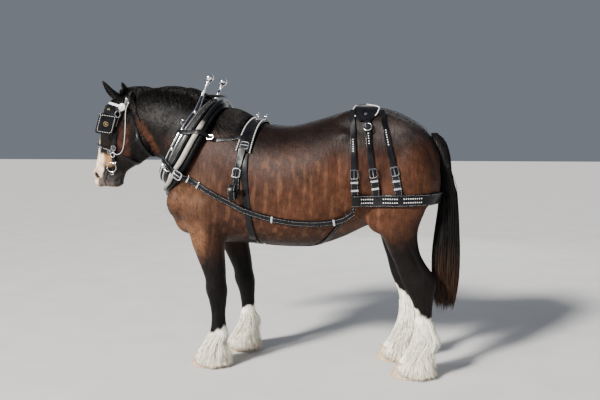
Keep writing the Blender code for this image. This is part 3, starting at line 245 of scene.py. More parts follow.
# Legs: height, front x, back x, half width
foreLegRows = (
    (1.22, -0.79, -0.52, 0.08), (1.06, -0.785, -0.47, 0.108), (0.93, -0.735, -0.475, 0.104),
    (0.84, -0.708, -0.487, 0.096), (0.755, -0.676, -0.485, 0.086), (0.666, -0.642, -0.48, 0.075),
    (0.6, -0.622, -0.48, 0.068), (0.53, -0.621, -0.47, 0.068), (0.46, -0.6, -0.476, 0.058),
    (0.374, -0.588, -0.484, 0.047), (0.283, -0.588, -0.48, 0.05), (0.22, -0.602, -0.465, 0.06),
    (0.16, -0.632, -0.502, 0.056), (0.085, -0.68, -0.5, 0.074),
)
hindLegRows = (
    (1.3, 0.42, 0.93, 0.11), (1.16, 0.46, 0.895, 0.125), (1.057, 0.505, 0.842, 0.122),
    (0.96, 0.56, 0.812, 0.108), (0.88, 0.602, 0.816, 0.093), (0.81, 0.634, 0.832, 0.079),
    (0.74, 0.668, 0.872, 0.067), (0.67, 0.694, 0.925, 0.058), (0.62, 0.714, 0.937, 0.06),
    (0.55, 0.752, 0.922, 0.057), (0.49, 0.782, 0.915, 0.05), (0.4, 0.8, 0.91, 0.046),
    (0.32, 0.8, 0.92, 0.05), (0.24, 0.782, 0.938, 0.06), (0.17, 0.755, 0.89, 0.055),
    (0.085, 0.7, 0.885, 0.073),
)
# Each leg: side, stride behind its plain place, rows, spread from the middle plane, top of the white
legs = {
    "fore_left": (-1, 0.0, foreLegRows, 0.195, 0.265),
    "fore_right": (1, 0.115, foreLegRows, 0.195, 0.33),
    "hind_left": (-1, 0.0, hindLegRows, 0.175, 0.42),
    "hind_right": (1, -0.13, hindLegRows, 0.175, 0.47),
}
# Muscles on each side that join the skin: centre, radii, turn about Y in degrees
muscles = (
    ((-0.68, 0.225, 1.36), (0.115, 0.075, 0.27), 30), ((-0.8, 0.17, 1.13), (0.105, 0.12, 0.13), 0),
    ((-0.6, 0.245, 1.09), (0.16, 0.075, 0.15), -15), ((-0.785, 0.1, 1.08), (0.103, 0.12, 0.18), 0),
    ((0.53, 0.145, 1.595), (0.3, 0.155, 0.15), 12), ((0.36, 0.245, 1.53), (0.11, 0.075, 0.1), 0),
    ((0.7, 0.205, 1.31), (0.21, 0.11, 0.27), 0), ((0.865, 0.115, 1.33), (0.085, 0.1, 0.21), -8),
    ((0.58, 0.195, 1.1), (0.11, 0.078, 0.16), 10),
)
headForms = (
    ((-1.165, 0.058, 1.535), (0.105, 0.042, 0.105), 0), ((-1.38, 0.086, 1.712), (0.042, 0.032, 0.04), 0),
    ((-1.345, 0.072, 1.62), (0.04, 0.026, 0.1), 12), ((-1.487, 0.04, 1.318), (0.034, 0.03, 0.05), 8),
    ((-1.474, 0.018, 1.253), (0.05, 0.044, 0.04), 0), ((-1.362, 0.012, 1.252), (0.05, 0.038, 0.036), 0),
    ((-1.235, 0.025, 1.845), (0.07, 0.045, 0.04), 0),
)
# Finer forms pushed out of, or into, the finished skin: centre, radii, turn, height
bodyForms = (
    ((-0.655, 0.31, 1.47), (0.028, 0.12, 0.2), 30, -0.006),  # spine of the shoulder blade
    ((-0.56, 0.31, 1.22), (0.1, 0.1, 0.11), 0, 0.01),  # long head of the upper arm
    ((-0.47, 0.28, 1.02), (0.045, 0.08, 0.045), 0, 0.012),  # elbow
    ((-0.39, 0.34, 1.08), (0.045, 0.1, 0.12), 0, -0.008),
    ((-0.7, 0.3, 1.1), (0.035, 0.1, 0.1), 25, -0.006),
    ((-0.99, 0.11, 1.5), (0.022, 0.08, 0.13), 38, -0.008),  # groove along the windpipe
    ((-0.95, 0.13, 1.64), (0.16, 0.08, 0.07), -32, 0.006),
    ((-0.93, 0.12, 1.76), (0.17, 0.08, 0.035), -10, -0.005),
    ((0.33, 0.33, 1.42), (0.06, 0.1, 0.11), 8, -0.01),  # flank hollow
    ((0.4, 0.3, 1.12), (0.03, 0.12, 0.1), -28, 0.008),  # fold of the flank
    ((0.345, 0.28, 1.58), (0.045, 0.08, 0.04), 0, 0.01),  # point of the hip
    ((0.52, 0.26, 1.6), (0.09, 0.09, 0.05), 10, -0.005),
    ((0.845, 0.21, 1.22), (0.018, 0.1, 0.2), -10, -0.008),  # groove between the thigh's two bellies
    ((0.565, 0.27, 1.07), (0.05, 0.09, 0.055), 0, 0.008),  # stifle
    ((0.66, 0.27, 0.92), (0.045, 0.1, 0.1), -12, 0.006),
    ((0.79, 0.2, 0.8), (0.016, 0.12, 0.11), -25, -0.012),  # hollow before the tendon of the hock
    ((-0.61, 0.26, 0.84), (0.03, 0.1, 0.11), 5, 0.006),
    ((-0.565, 0.27, 0.8), (0.01, 0.12, 0.13), 8, -0.006),
    ((-0.545, 0.22, 0.56), (0.03, 0.12, 0.04), 0, 0.006),  # knee
    ((-0.505, 0.24, 0.4), (0.01, 0.1, 0.08), 0, -0.006),
    ((0.87, 0.22, 0.44), (0.012, 0.1, 0.1), 0, -0.006),
    ((0.85, 0.22, 0.63), (0.03, 0.12, 0.045), 0, 0.005),  # hock
    ((-0.99, 0.0, 1.02), (0.1, 0.022, 0.14), 0, -0.014),  # parting of the breast
    ((0.99, 0.0, 1.2), (0.1, 0.02, 0.2), 0, -0.018),
    ((-0.1, 0.33, 1.2), (0.2, 0.12, 0.12), 0, 0.006),
)


def legShift(z, stride):
    return stride * np.maximum(0.0, 1 - (np.asarray(z) / 1.18) ** 2)


def legRings(rows, side, stride, spread, count):
    rings = []
    for z, front, back, width in resample(rows, count):
        shift = float(legShift(z, stride))
        lean = side * (spread + 0.02 * max(0.0, z - 0.6))
        rings.append(oval((front + shift, z), (back + shift, z), width, lean, 0.48, 2.2, 28))
    return rings


def sections(rows, count, roundness, sides=32):
    return [oval((ax, az), (bx, bz), w, 0, level, roundness, sides)
            for ax, az, bx, bz, w, level in resample(rows, count)]


def oneSkin(bm, voxel, rounds, trunkRounds):
    # one closed skin over shapes that overlap, smoothed more on the trunk than on legs and head
    obj = newObject("flesh", meshFrom(bm))
    remesh = obj.modifiers.new("skin", "REMESH")
    remesh.mode = "VOXEL"
    remesh.voxel_size = voxel
    obj = newObject("flesh", finishedMesh(obj))
    points = pointsOf(obj.data)
    weight = np.clip((points[:, 2] - 0.8) / 0.15, 0, 1) * np.clip((points[:, 0] + 1.25) / 0.15, 0, 1)
    trunk = obj.vertex_groups.new(name="trunk")
    for index in np.nonzero(weight > 0)[0]:
        trunk.add([int(index)], float(weight[index]), "REPLACE")
    for count, group in ((trunkRounds, "trunk"), (rounds, "")):
        smooth = obj.modifiers.new("soften", "SMOOTH")
        smooth.factor = 0.5
        smooth.iterations = count
        smooth.vertex_group = group
    return finishedMesh(obj)


skinSettings = {"voxel": 0.0105, "headVoxel": 0.0039, "coatDepth": 0.0012}
eyePlace = {"at": Vector((-1.388, 0.0985, 1.69)), "radius": 0.023, "looks": Vector((-0.38, 0.92, 0.06)),
            "slant": Vector((0.6, 0, 0.8))}
nostrilAt = Vector((-1.497, 0.052, 1.315))
throatTop, throatBottom = Vector((-1.205, 0, 1.93)), Vector((-1.035, 0, 1.48))


def trunkAndLegs():
    bm = bmesh.new()
    bridge(bm, sections([(x, top, x, low, w, level) for x, top, low, w, level in trunkRows], 40, 2.25, 40))
    bridge(bm, sections(neckRows, 26, 2.0))
    bridge(bm, sections(headRows, 26, 2.3))
    addPairs(bm, muscles)
    for side, stride, rows, spread, white in legs.values():
        bridge(bm, legRings(rows, side, stride, spread, 44))
    return oneSkin(bm, skinSettings["voxel"], 3, 24)


def headAlone():
    bm = bmesh.new()
    bridge(bm, sections(neckRows, 26, 2.0))
    bridge(bm, sections(headRows, 40, 2.3))
    addPairs(bm, headForms)
    for side in (-1, 1):
        mirror = Vector((1, side, 1))
        looks = (eyePlace["looks"] * mirror).normalized()
        slant = (eyePlace["slant"] - looks * eyePlace["slant"].dot(looks)).normalized()
        rim = circle(eyePlace["at"] * mirror + looks * 0.01, slant * 0.031, looks.cross(slant) * 0.021, 28)
        bridge(bm, tubeRings(rim, 0.0085, looks, 10, True), True)
        opening = circle(nostrilAt * mirror, Vector((-0.012, 0, 0.022)), Vector((0.006, side * 0.016, 0)), 24)
        bridge(bm, tubeRings(opening, 0.0075, Vector((-0.55, side * 0.8, 0)), 10, True), True)
    return oneSkin(bm, skinSettings["headVoxel"], 8, 16)


def keepSide(bm, point, normal, lowest):
    # cuts what is above that height with a plane and drops the side that the normal points at
    faces = [f for f in bm.faces if min(v.co.z for v in f.verts) > lowest]
    parts = {item for f in faces for item in (*f.verts, *f.edges)} | set(faces)
    bmesh.ops.bisect_plane(bm, geom=list(parts), plane_co=point, plane_no=normal)
    outer = [v for v in bm.verts if v.co.z > lowest and (v.co - point).dot(normal) > 1e-5]
    bmesh.ops.delete(bm, geom=outer, context="VERTS")


def joinedSkin():
    # the fine head and the coarser body, each cut a little short of the throat and bridged
    along = (throatBottom - throatTop).normalized()
    forward = Vector((along.z, 0, -along.x))
    bm = bmesh.new()
    bm.from_mesh(trunkAndLegs())
    keepSide(bm, throatTop - forward * 0.012, forward, 1.44)
    body = meshFrom(bm, False)
    bm = bmesh.new()
    bm.from_mesh(headAlone())
    keepSide(bm, throatTop, -forward, 0.0)
    bm.from_mesh(body)
    rim = [edge for edge in bm.edges if edge.is_boundary]
    bmesh.ops.bridge_loops(bm, edges=rim)
    bmesh.ops.triangulate(bm, faces=[f for f in bm.faces if len(f.verts) > 4])
    near = [v for v in bm.verts if abs((v.co - throatTop).dot(forward)) < 0.045]
    for turn in range(14):
        bmesh.ops.smooth_vert(bm, verts=near, factor=0.5, use_axis_x=True, use_axis_y=True, use_axis_z=True)
    return meshFrom(bm)


def pushForms(points, normals, forms):
    # moves points along their normals by soft egg-shaped swellings, the same on both sides
    shift = np.zeros(len(points))
    side = np.sign(points[:, 1])
    for name, (legSide, stride, rows, spread, white) in legs.items():
        own = (side == legSide) & ((points[:, 0] < 0) == name.startswith("fore")) & (points[:, 2] < 1.18)
        shift[own] = legShift(points[own, 2], stride)
    plain = points - np.stack([shift, shift * 0, shift * 0], 1)
    plain[:, 1] = np.abs(plain[:, 1])
    push = np.zeros(len(points))
    for centre, radii, turn, height in forms:
        offset = plain - centre
        c, s = math.cos(math.radians(turn)), math.sin(math.radians(turn))
        x, z = c * offset[:, 0] - s * offset[:, 2], s * offset[:, 0] + c * offset[:, 2]
        reach = (x / radii[0]) ** 2 + (offset[:, 1] / radii[1]) ** 2 + (z / radii[2]) ** 2
        push += height * np.exp(-reach)
    return points + normals * push[:, None]


mouthLine = smoothLine([(-1.362, 0, 1.358), (-1.392, 0, 1.318), (-1.41, 0, 1.285), (-1.418, 0, 1.25),
                        (-1.414, 0, 1.19)], 0.004)
nostrilShape = {"middle": (-1.487, 1.3), "long": 0.025, "wide": 0.0125, "lean": (-0.42, 0.91), "deep": 0.02}


def mouthDistance(points):
    line = np.array([(p.x, p.z) for p in mouthLine])
    return np.sqrt(((points[:, None, (0, 2)] - line[None]) ** 2).sum(2)).min(1)


def nostrilReach(points):
    # 1 on the rim of the nostril, less inside; it curves like a comma
    across = points[:, 0] - nostrilShape["middle"][0]
    over = points[:, 2] - nostrilShape["middle"][1]
    long = across * nostrilShape["lean"][0] + over * nostrilShape["lean"][1]
    wide = across * nostrilShape["lean"][1] - over * nostrilShape["lean"][0] - 9.0 * long ** 2
    return np.hypot(long / nostrilShape["long"], wide / nostrilShape["wide"])


def faceDetails(points, normals):
    # lips, nostrils, the edge of the cheek and fine folds of the face
    near = points[:, 0] < -1.05
    p, n = points[near], normals[near]
    mouth = mouthDistance(p)
    push = 0.003 * np.exp(-((mouth - 0.012) / 0.007) ** 2) - 0.0085 * np.exp(-(mouth / 0.0045) ** 2)
    push *= smoothStep(np.abs(p[:, 1]), 0.004, 0.012)
    chin = patch(p[:, 0], p[:, 2], (-1.372, 1.215), (0.02, 0.016))
    push += 0.006 * chin - 0.008 * patch(p[:, 0], p[:, 2], (-1.33, 1.262), (0.016, 0.016))
    reach = nostrilReach(p)
    ahead = smoothStep(np.abs(p[:, 1]), 0.018, 0.03)
    push += 0.0035 * np.exp(-((reach - 1.35) / 0.25) ** 2) * ahead
    ridge = np.abs((p[:, 0] + 1.345) * 0.93 + (p[:, 2] - 1.6) * 0.36)
    push += 0.006 * np.exp(-(ridge / 0.013) ** 2) * smoothStep(p[:, 2], 1.5, 1.56) \
        * smoothStep(-p[:, 2], -1.68, -1.63)
    veins = ripple(p * np.array([1, 1, 0.5]), 0.035, 21)
    push += 0.001 * np.exp(-(veins / 0.18) ** 2) * smoothStep(p[:, 2], 1.36, 1.42) * smoothStep(-p[:, 0], 1.2, 1.3)
    for lift, size in ((0.033, 0.0022), (0.041, -0.0022), (0.048, 0.0018)):
        gap = np.hypot(p[:, 0] - eyePlace["at"].x, p[:, 2] - eyePlace["at"].z - 0.004) - lift
        push += size * np.exp(-(gap / 0.0035) ** 2) * smoothStep(p[:, 2], 1.695, 1.715)
    p = p + n * push[:, None]
    inward = np.stack([np.full(len(p), 0.55), -0.8 * np.sign(p[:, 1]), np.full(len(p), 0.15)], 1)
    p = p + inward * (nostrilShape["deep"] * np.exp(-np.minimum(reach, 3) ** 4) * ahead)[:, None]
    points = points.copy()
    points[near] = p
    return points


skinMesh = joinedSkin()
skinPoints = pushForms(pointsOf(skinMesh), pointsOf(skinMesh, "normal"), bodyForms)
skinPoints = faceDetails(skinPoints, pointsOf(skinMesh, "normal"))
skinPoints -= pointsOf(skinMesh, "normal") * skinSettings["coatDepth"]
setPoints(skinMesh, skinPoints)
print("skin", len(skinMesh.vertices), "points")


# Colours and markings of the coat, read by the skin and by every tuft
coatColours = {
    "bay": (0.036, 0.0145, 0.0088), "darkBay": (0.0066, 0.0036, 0.0032), "redBay": (0.07, 0.0262, 0.0128),
    "black": (0.0026, 0.0024, 0.0025), "seal": (0.0078, 0.0055, 0.0048), "white": (0.97, 0.93, 0.8),
    "paintedSheen": (0.066, 0.053, 0.05), "nostril": (0.03, 0.014, 0.013), "lightBay": (0.19, 0.088, 0.045),
    "cream": (0.78, 0.62, 0.45), "tan": (0.38, 0.21, 0.095), "skinPink": (0.5, 0.3, 0.24),
    "slate": (0.042, 0.038, 0.037), "chestnut": (0.058, 0.0225, 0.015),
}
neckSlant = 0.36


def neckward(x, z):
    # how far along the slanted neck a place lies
    return -x - neckSlant * (z - 1.45)


def mixed(base, colour, amount):
    return base + (np.array(coatColours[colour]) - base) * np.clip(amount, 0, 1)[:, None]


def coatColour(points):
    # the colour of the coat at points in the horse's own frame
    x, y, z = points.T
    side, off = np.sign(y), np.abs(y)
    soft, fine = ripple(points, 0.42, 3), ripple(points, 0.075, 8)
    colour = np.tile(np.array(coatColours["bay"]), (len(points), 1))

    def lay(name, amount):
        colour[:] = mixed(colour, name, amount)

    # trunk: red flank and thigh, dark back and belly, painted highlight streaks along the barrel, a painted sheen on
    # the croup and painted shade between the legs
    back = np.interp(x, (-0.8, -0.3, 0.1, 0.5, 0.9), (1.62, 1.52, 1.5, 1.6, 1.5))
    lay("redBay", smoothStep(1.42 - z + 0.05 * soft, 0.02, 0.3) * smoothStep(x, -0.35, 0.0) * 0.75)
    lay("redBay", patch(x, z, (0.3, 1.28), (0.13, 0.22)) * 0.8)
    lay("redBay", patch(x, z, (0.78, 1.42), (0.13, 0.18)) * 0.7)
    lay("darkBay", smoothStep(z + 0.06 * soft, back - 0.15, back + 0.06) * 0.94)
    lay("darkBay", smoothStep(-x + 0.1 * soft, 0.45, 0.75) * 0.3)
    lay("darkBay", smoothStep(1.02 - z + 0.03 * soft, 0.0, 0.16) * (np.abs(x) < 0.45) * 0.55)
    # painted highlight: lighter bay streaks along the middle of the barrel, where the light catches the hair
    highlightStreaks = ripple(points * np.array([1, 1, 0.22]), 0.055, 31)
    lit = smoothStep(highlightStreaks, 0.1, 0.9) * smoothStep(1.5 - z, 0, 0.12) * smoothStep(z, 0.85, 0.95)
    lay("lightBay", lit * smoothStep(-np.abs(x - 0.05), -0.75, -0.45) * 0.28)
    lay("lightBay", patch(x, z, (-0.72, 1.16), (0.16, 0.16)) * 0.5)
    lay("lightBay", smoothStep(1.05 - z, 0.0, 0.12) * smoothStep(-x, 0.55, 0.62) * 0.8)
    # painted sheen: a lighter grey-brown patch on the top of the croup, where the light glances off the coat
    lay("paintedSheen", patch(x, z, (0.66, 1.6), (0.13, 0.085)) * 0.9)
    # painted shade: darker under the belly and on the inner sides of the legs, towards the middle plane
    lay("darkBay", smoothStep(-off, -0.2, -0.02) * smoothStep(-z, -1.1, -0.8) * 0.6)
    lay("black", smoothStep(z + 0.03 * soft, 1.52, 1.62) * smoothStep(-x, 0.26, 0.36) * 0.9)
    # neck and head
    nearHead = smoothStep(neckward(x, z) + 0.03 * soft, 0.8, 0.97)
    lay("seal", nearHead * smoothStep(z + 0.05 * soft, 1.1, 1.24))
    cheek = smoothStep(x - 0.15 * (z - 1.55), -1.335, -1.29) * smoothStep(-x + 0.15 * (z - 1.55), 1.185, 1.225)
    cheek *= smoothStep(z, 1.4, 1.46) * smoothStep(-z, -1.7, -1.62)
    lay("chestnut", cheek * (0.8 + 0.25 * fine))
    # painted shade: black at the back of the jaw and under it, along the jaw line
    jaw = smoothStep(-x, 1.06, 1.12) * smoothStep(x, -1.235, -1.185) * smoothStep(1.66 - z, 0, 0.06)
    lay("black", jaw * smoothStep(-z - 0.9 * x, -0.56, -0.5) * 0.75)
    # painted highlight: a reddish streak of light along the groove between the jaw and the neck
    throatHighlightOffset = np.abs((x + 1.082) * 0.86 + (z - 1.596) * 0.51)
    throat = smoothStep(0.04 - throatHighlightOffset + 0.006 * fine, 0, 0.03)
    throat = throat * smoothStep(1.72 - z, 0, 0.08) * smoothStep(z, 1.44, 1.5)
    lay("redBay", throat * smoothStep(-x, 0.98, 1.02) * 0.85)
    crest = np.interp(x, (-1.25, -1.0, -0.67), (1.83, 1.86, 1.77))
    lay("black", smoothStep(z + 0.02 * fine, crest - 0.04, crest + 0.03) * smoothStep(-x, 0.6, 0.75))
    # muzzle: slate with a white blaze down the front of the face
    lay("slate", smoothStep(1.345 - z + 0.012 * fine, 0.0, 0.06) * smoothStep(-x, 1.22, 1.29) * 0.85)
    face = x + 1.47 + 0.285 * (z - 1.55)
    blaze = smoothStep(-face - 0.3 * off + 0.004 * fine, -0.034, -0.02)
    blaze *= smoothStep(-off - 0.006 * fine, -0.062, -0.05) * smoothStep(-x, 1.3, 1.36)
    wide = smoothStep(1.47 - z, 0, 0.03)
    blaze = np.maximum(blaze, wide * smoothStep(-x + 0.1 * (z - 1.2) + 0.005 * fine, 1.443, 1.458))
    flank = smoothStep(1.47 - z + 0.01 * fine, 0, 0.045) * smoothStep(z + 0.014 * fine, 1.35, 1.395)
    flank *= smoothStep(-x + 0.014 * fine, 1.335, 1.385)
    lay("tan", flank * 0.9)
    lay("cream", blaze)
    lay("skinPink", blaze * smoothStep(1.3 - z, 0, 0.05) * 0.55)
    lips = smoothStep(1.31 - z + 0.01 * fine, 0.0, 0.03) * smoothStep(x, -1.487, -1.47)
    lay("slate", lips * smoothStep(-x, 1.2, 1.3) * smoothStep(off, 0.03, 0.042) * 0.9)
    # painted shade inside the nostril opening and along the crease of the mouth
    onFace = x < -1.25
    reach = np.where(onFace, nostrilReach(points), 9.0)
    lay("nostril", smoothStep(1.12 - reach, 0, 0.35) * smoothStep(off, 0.018, 0.03))
    mouth = np.full(len(points), 1.0)
    mouth[onFace] = mouthDistance(points[onFace])
    lay("nostril", smoothStep(0.0066 - mouth, 0, 0.004) * 0.9)
    # legs: black below the body, white from each leg's own height down
    fore = x < 0
    blackTop = np.where(fore, 0.78 - 0.22 * np.abs(x + 0.6), 0.94 + 0.25 * (x - 0.75))
    lay("black", smoothStep(blackTop - z + 0.03 * fine, -0.13, 0.1) * 0.97)
    for name, (legSide, stride, rows, spread, white) in legs.items():
        middle = float(np.mean([rows[-5][1], rows[-5][2]])) + legShift(z, stride)
        own = (side == legSide) & (fore == name.startswith("fore")) & (z < 0.7) & (np.abs(x - middle) < 0.2)
        slope = 0.55 if name.startswith("fore") else -0.75
        edge = white + slope * (x - middle) + 0.014 * fine
        lay("white", np.where(own, smoothStep(edge - z, -0.008, 0.012), 0))
        lay("cream", np.where(own, smoothStep(0.11 - z + 0.02 * fine, 0, 0.09) * 0.55, 0))
    return np.clip(colour * (1 + 0.16 * fine[:, None]), 0, 1)


def paint(mesh, colours):
    layer = mesh.color_attributes.new("coat", "FLOAT_COLOR", "POINT")
    layer.data.foreach_set("color", np.hstack([colours, np.ones((len(colours), 1))]).ravel())


class Nodes:
    # a material's nodes, made with a few words each
    def __init__(self, name):
        self.material = bpy.data.materials.new(name)
        self.material.use_nodes = True
        self.tree = self.material.node_tree
        self.shader = self.tree.nodes["Principled BSDF"]
        self.place = self.add("TexCoord").outputs["Object"]

    def add(self, kind, links=(), **values):
        node = self.tree.nodes.new("ShaderNode" + kind)
        for key, value in values.items():
            if hasattr(node, key):
                setattr(node, key, value)
            else:
                node.inputs[key.replace("_", " ")].default_value = value
        for socket, source in dict(links).items():
            self.tree.links.new(source, node.inputs[socket])
        return node

    def noise(self, scale, detail, vector=None, **more):
        links = {"Vector": vector or self.place}
        return self.add("TexNoise", links, Scale=scale, Detail=detail, **more).outputs["Fac"]

    def stretched(self, *scale, turn=0.0):
        # the place squeezed, so that a pattern runs one way
        return self.add("Mapping", {"Vector": self.place}, Rotation=(0, turn, 0), Scale=scale).outputs[0]

    def attribute(self, name, output="Color"):
        return self.add("Attribute", attribute_name=name).outputs[output]

    def mathNode(self, operation, a, b=None, **more):
        node = self.add("Math", operation=operation, **more)
        for index, value in enumerate((a, b)):
            if isinstance(value, (int, float)):
                node.inputs[index].default_value = value
            elif value is not None:
                self.tree.links.new(value, node.inputs[index])
        return node.outputs[0]

    def mixColour(self, kind, amount, a, b):
        node = self.add("Mix", data_type="RGBA", blend_type=kind)
        for index, value in ((0, amount), (6, a), (7, b)):
            if isinstance(value, (int, float)):
                node.inputs[index].default_value = value
            elif isinstance(value, tuple):
                node.inputs[index].default_value = (*value, 1)
            else:
                self.tree.links.new(value, node.inputs[index])
        return node.outputs[2]

    def ramp(self, source, stops):
        node = self.add("ValToRGB", {"Fac": source})
        while len(node.color_ramp.elements) < len(stops):
            node.color_ramp.elements.new(0.5)
        for element, (place, colour) in zip(node.color_ramp.elements, stops):
            element.position = place
            element.color = (*colour, 1) if isinstance(colour, tuple) else (colour, colour, colour, 1)
        return node.outputs["Color"]

    def bump(self, height, distance, strength=1.0):
        node = self.add("Bump", {"Height": height}, Distance=distance, Strength=strength)
        self.tree.links.new(node.outputs[0], self.shader.inputs["Normal"])
        return node

    def set(self, **values):
        for key, value in values.items():
            socket = self.shader.inputs[key.replace("_", " ")]
            if hasattr(value, "is_linked") or hasattr(value, "links"):
                self.tree.links.new(value, socket)
            else:
                socket.default_value = (*value, 1) if isinstance(value, tuple) else value
        return self.material


def coatMaterial():
    # short glossy coat: markings from the coat attribute, fine hair as stretched noise
    m = Nodes("shortCoat")
    lie = m.stretched(1, 1, 0.16, turn=math.radians(35))
    hair, clumps = m.noise(330.0, 4.0, lie, Roughness=0.65), m.noise(70.0, 3.0, lie, Roughness=0.6)
    dapple = m.noise(9.0, 5.0, Roughness=0.55)
    colour = m.attribute("coat")
    for pattern, stops in ((hair, ((0.3, 0.55), (0.52, 0.98), (0.75, 1.45))),
                           (clumps, ((0.3, 0.72), (0.7, 1.22))), (dapple, ((0.32, 0.8), (0.68, 1.18)))):
        colour = m.mixColour("MULTIPLY", 1.0, colour, m.ramp(pattern, stops))
    m.bump(m.mathNode("ADD", hair, m.mathNode("MULTIPLY", clumps, 1.5)), 0.0022, 0.75)
    gloss = m.ramp(clumps, ((0.3, 0.36), (0.7, 0.54)))
    return m.set(Base_Color=colour, Roughness=gloss, Specular_IOR_Level=0.12)


shortCoat = coatMaterial()
paint(skinMesh, coatColour(skinPoints))


def placeMesh(mesh):
    # from the horse's own frame to the frame of the CAD
    mesh.transform(Matrix.Translation(horseShift))
    return mesh


def treeFrom(mesh):
    # asks where a line hits the mesh, in the horse's own frame
    return BVHTree.FromPolygons([v.co.copy() for v in mesh.vertices], [list(p.vertices) for p in mesh.polygons])


skinTree = treeFrom(skinMesh)
skin = newObject("skin", placeMesh(skinMesh), shortCoat)
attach(skin, "root")
flesh = ["torso", "neck", "head"] + ["leg_" + name for name in legs] + ["foot_" + name for name in legs]
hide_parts(*flesh)
print("skin is placed")


# Long hair: many thin tapered locks, each a closed three-sided strand along its own path
def hairPiece(name, paths, widths, faceTo, colours, bakeAt, material, thick=0.4, taper=None):
    # paths: strands x points x 3 in the horse's frame; bakeAt: each root's place on an unwrap of its skin
    count, length = paths.shape[:2]
    tangents = np.gradient(paths, axis=1)
    tangents /= np.linalg.norm(tangents, axis=2, keepdims=True) + 1e-9
    faceTo = np.broadcast_to(faceTo, paths.shape)
    side = np.cross(tangents, faceTo)
    side /= np.linalg.norm(side, axis=2, keepdims=True) + 1e-9
    up = np.cross(side, tangents)
    shares = np.linspace(0, 1, length) if taper is None else taper
    size = (np.asarray(widths)[:, None] * shares[None, :])[:, :-1, None]
    body = paths[:, :-1]
    rings = np.stack([body - side[:, :-1] * size / 2, body + side[:, :-1] * size / 2,
                      body + up[:, :-1] * size * thick], axis=2)
    perStrand = 3 * (length - 1) + 1
    points = np.concatenate([rings.reshape(count, -1, 3), paths[:, -1:]], axis=1).reshape(-1, 3)
    quads, ends = [], []
    for ring in range(length - 2):
        for k in range(3):
            after = (k + 1) % 3
            quads.append((3 * ring + k, 3 * ring + after, 3 * ring + 3 + after, 3 * ring + 3 + k))
    last = 3 * (length - 2)
    for k in range(3):
        ends.append((last + k, last + (k + 1) % 3, perStrand - 1))
    ends.append((2, 1, 0))
    starts = np.arange(count)[:, None] * perStrand
    quadCorners = (np.array(quads).reshape(1, -1) + starts).ravel() if quads else np.zeros(0, int)
    endCorners = (np.array(ends).reshape(1, -1) + starts).ravel()
    corners = np.concatenate([quadCorners, endCorners]).astype(np.int32)
    sizes = np.concatenate([np.full(len(quadCorners) // 4, 4), np.full(len(endCorners) // 3, 3)])
    mesh = bpy.data.meshes.new(name)
    mesh.vertices.add(len(points))
    mesh.vertices.foreach_set("co", (points + np.array(horseShift)).ravel())
    mesh.loops.add(len(corners))
    mesh.loops.foreach_set("vertex_index", corners)
    mesh.polygons.add(len(sizes))
    mesh.polygons.foreach_set("loop_start", np.concatenate([[0], np.cumsum(sizes)[:-1]]).astype(np.int32))
    mesh.update(calc_edges=True)
    mesh.validate()
    along = np.concatenate([np.repeat(np.linspace(0, 0.9, length - 1), 3), [1.0]])
    across = np.concatenate([np.tile([0.0, 1.0, 0.5], length - 1), [0.5]])
    patch = np.stack([across, along], axis=1)
    spots = np.asarray(bakeAt)[:, None, :] * 0.99 + 0.003 * patch[None] + 0.002
    layer = mesh.uv_layers.new(name="OFBake")
    layer.data.foreach_set("uv", spots.reshape(-1, 2)[corners].ravel())
    if colours.ndim == 2:
        colours = np.repeat(colours[:, None, :], perStrand, axis=1)
    else:
        colours = np.concatenate([np.repeat(colours[:, :-1], 3, axis=1), colours[:, -1:]], axis=1)
    paint(mesh, colours.reshape(-1, 3))
    piece = newObject(name, mesh, material, smooth=False)
    print(name, "has", count, "locks and", len(quadCorners) // 2 + len(endCorners) // 3, "triangles")
    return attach(piece, "root")


def hairMaterial(name, shine, rough, contrast):
    m = Nodes(name)
    noise = m.noise(260.0, 3.0, m.stretched(1, 1, 0.06))
    shade = m.ramp(noise, ((0.3, 1 - contrast), (0.7, 1 + contrast)))
    m.bump(noise, 0.0012, 0.5)
    colour = m.mixColour("MULTIPLY", 1.0, m.attribute("coat"), shade)
    return m.set(Base_Color=colour, Roughness=rough, Specular_IOR_Level=shine)


darkHair = hairMaterial("longDarkHair", 0.15, 0.42, 0.35)
whiteHair = hairMaterial("featherHair", 0.25, 0.65, 0.08)


def clumped(paths, anchors, pull, rng):
    # draws each strand to the nearest of the first few, more towards the tip
    rng.integers(0, anchors, len(paths))  # a skipped draw, so that later ones stay as they are
    heads = paths[:anchors]
    shares = np.linspace(0, 1, paths.shape[1])[None, :, None] ** 1.4
    near = np.argmin(((paths[:, 0][:, None, :] - heads[:, 0][None, :, :]) ** 2).sum(2), axis=1)
    return paths + (heads[near] - paths) * shares * pull[:, None, None]


def waved(paths, size, waves, rng, way):
    # a soft curl across each strand, with its own phase and height
    shares = np.linspace(0, 1, paths.shape[1])[None, :]
    phase = rng.uniform(0, 6.3, (len(paths), 1))
    turns = rng.uniform(*waves, (len(paths), 1))
    high = rng.uniform(0.4, 1.0, (len(paths), 1)) * size
    swing = np.sin(phase + shares * turns * 2 * math.pi) * high * np.minimum(1, shares * 2.5)
    return paths + swing[:, :, None] * way


def spokes(turn):
    return np.stack([np.cos(turn), np.sin(turn), turn * 0], 1)


def tangents(turn):
    return np.stack([-np.sin(turn), np.cos(turn), turn * 0], 1)[:, None, :]


# Dark long hair: its colour at the root, and how a lock thins out
maneColour = np.array((0.0052, 0.0042, 0.004))
maneTaper = np.array([0.6, 1, 1, 1, 0.95, 0.85, 0.65, 0.4, 0.0])
tailHair = {"locks": 2500, "points": 12, "width": 0.0072, "end": 0.385, "clumps": 170, "wave": 0.009, "seed": 71,
            "root": (0.0046, 0.0038, 0.0038), "tip": (0.05, 0.024, 0.014)}


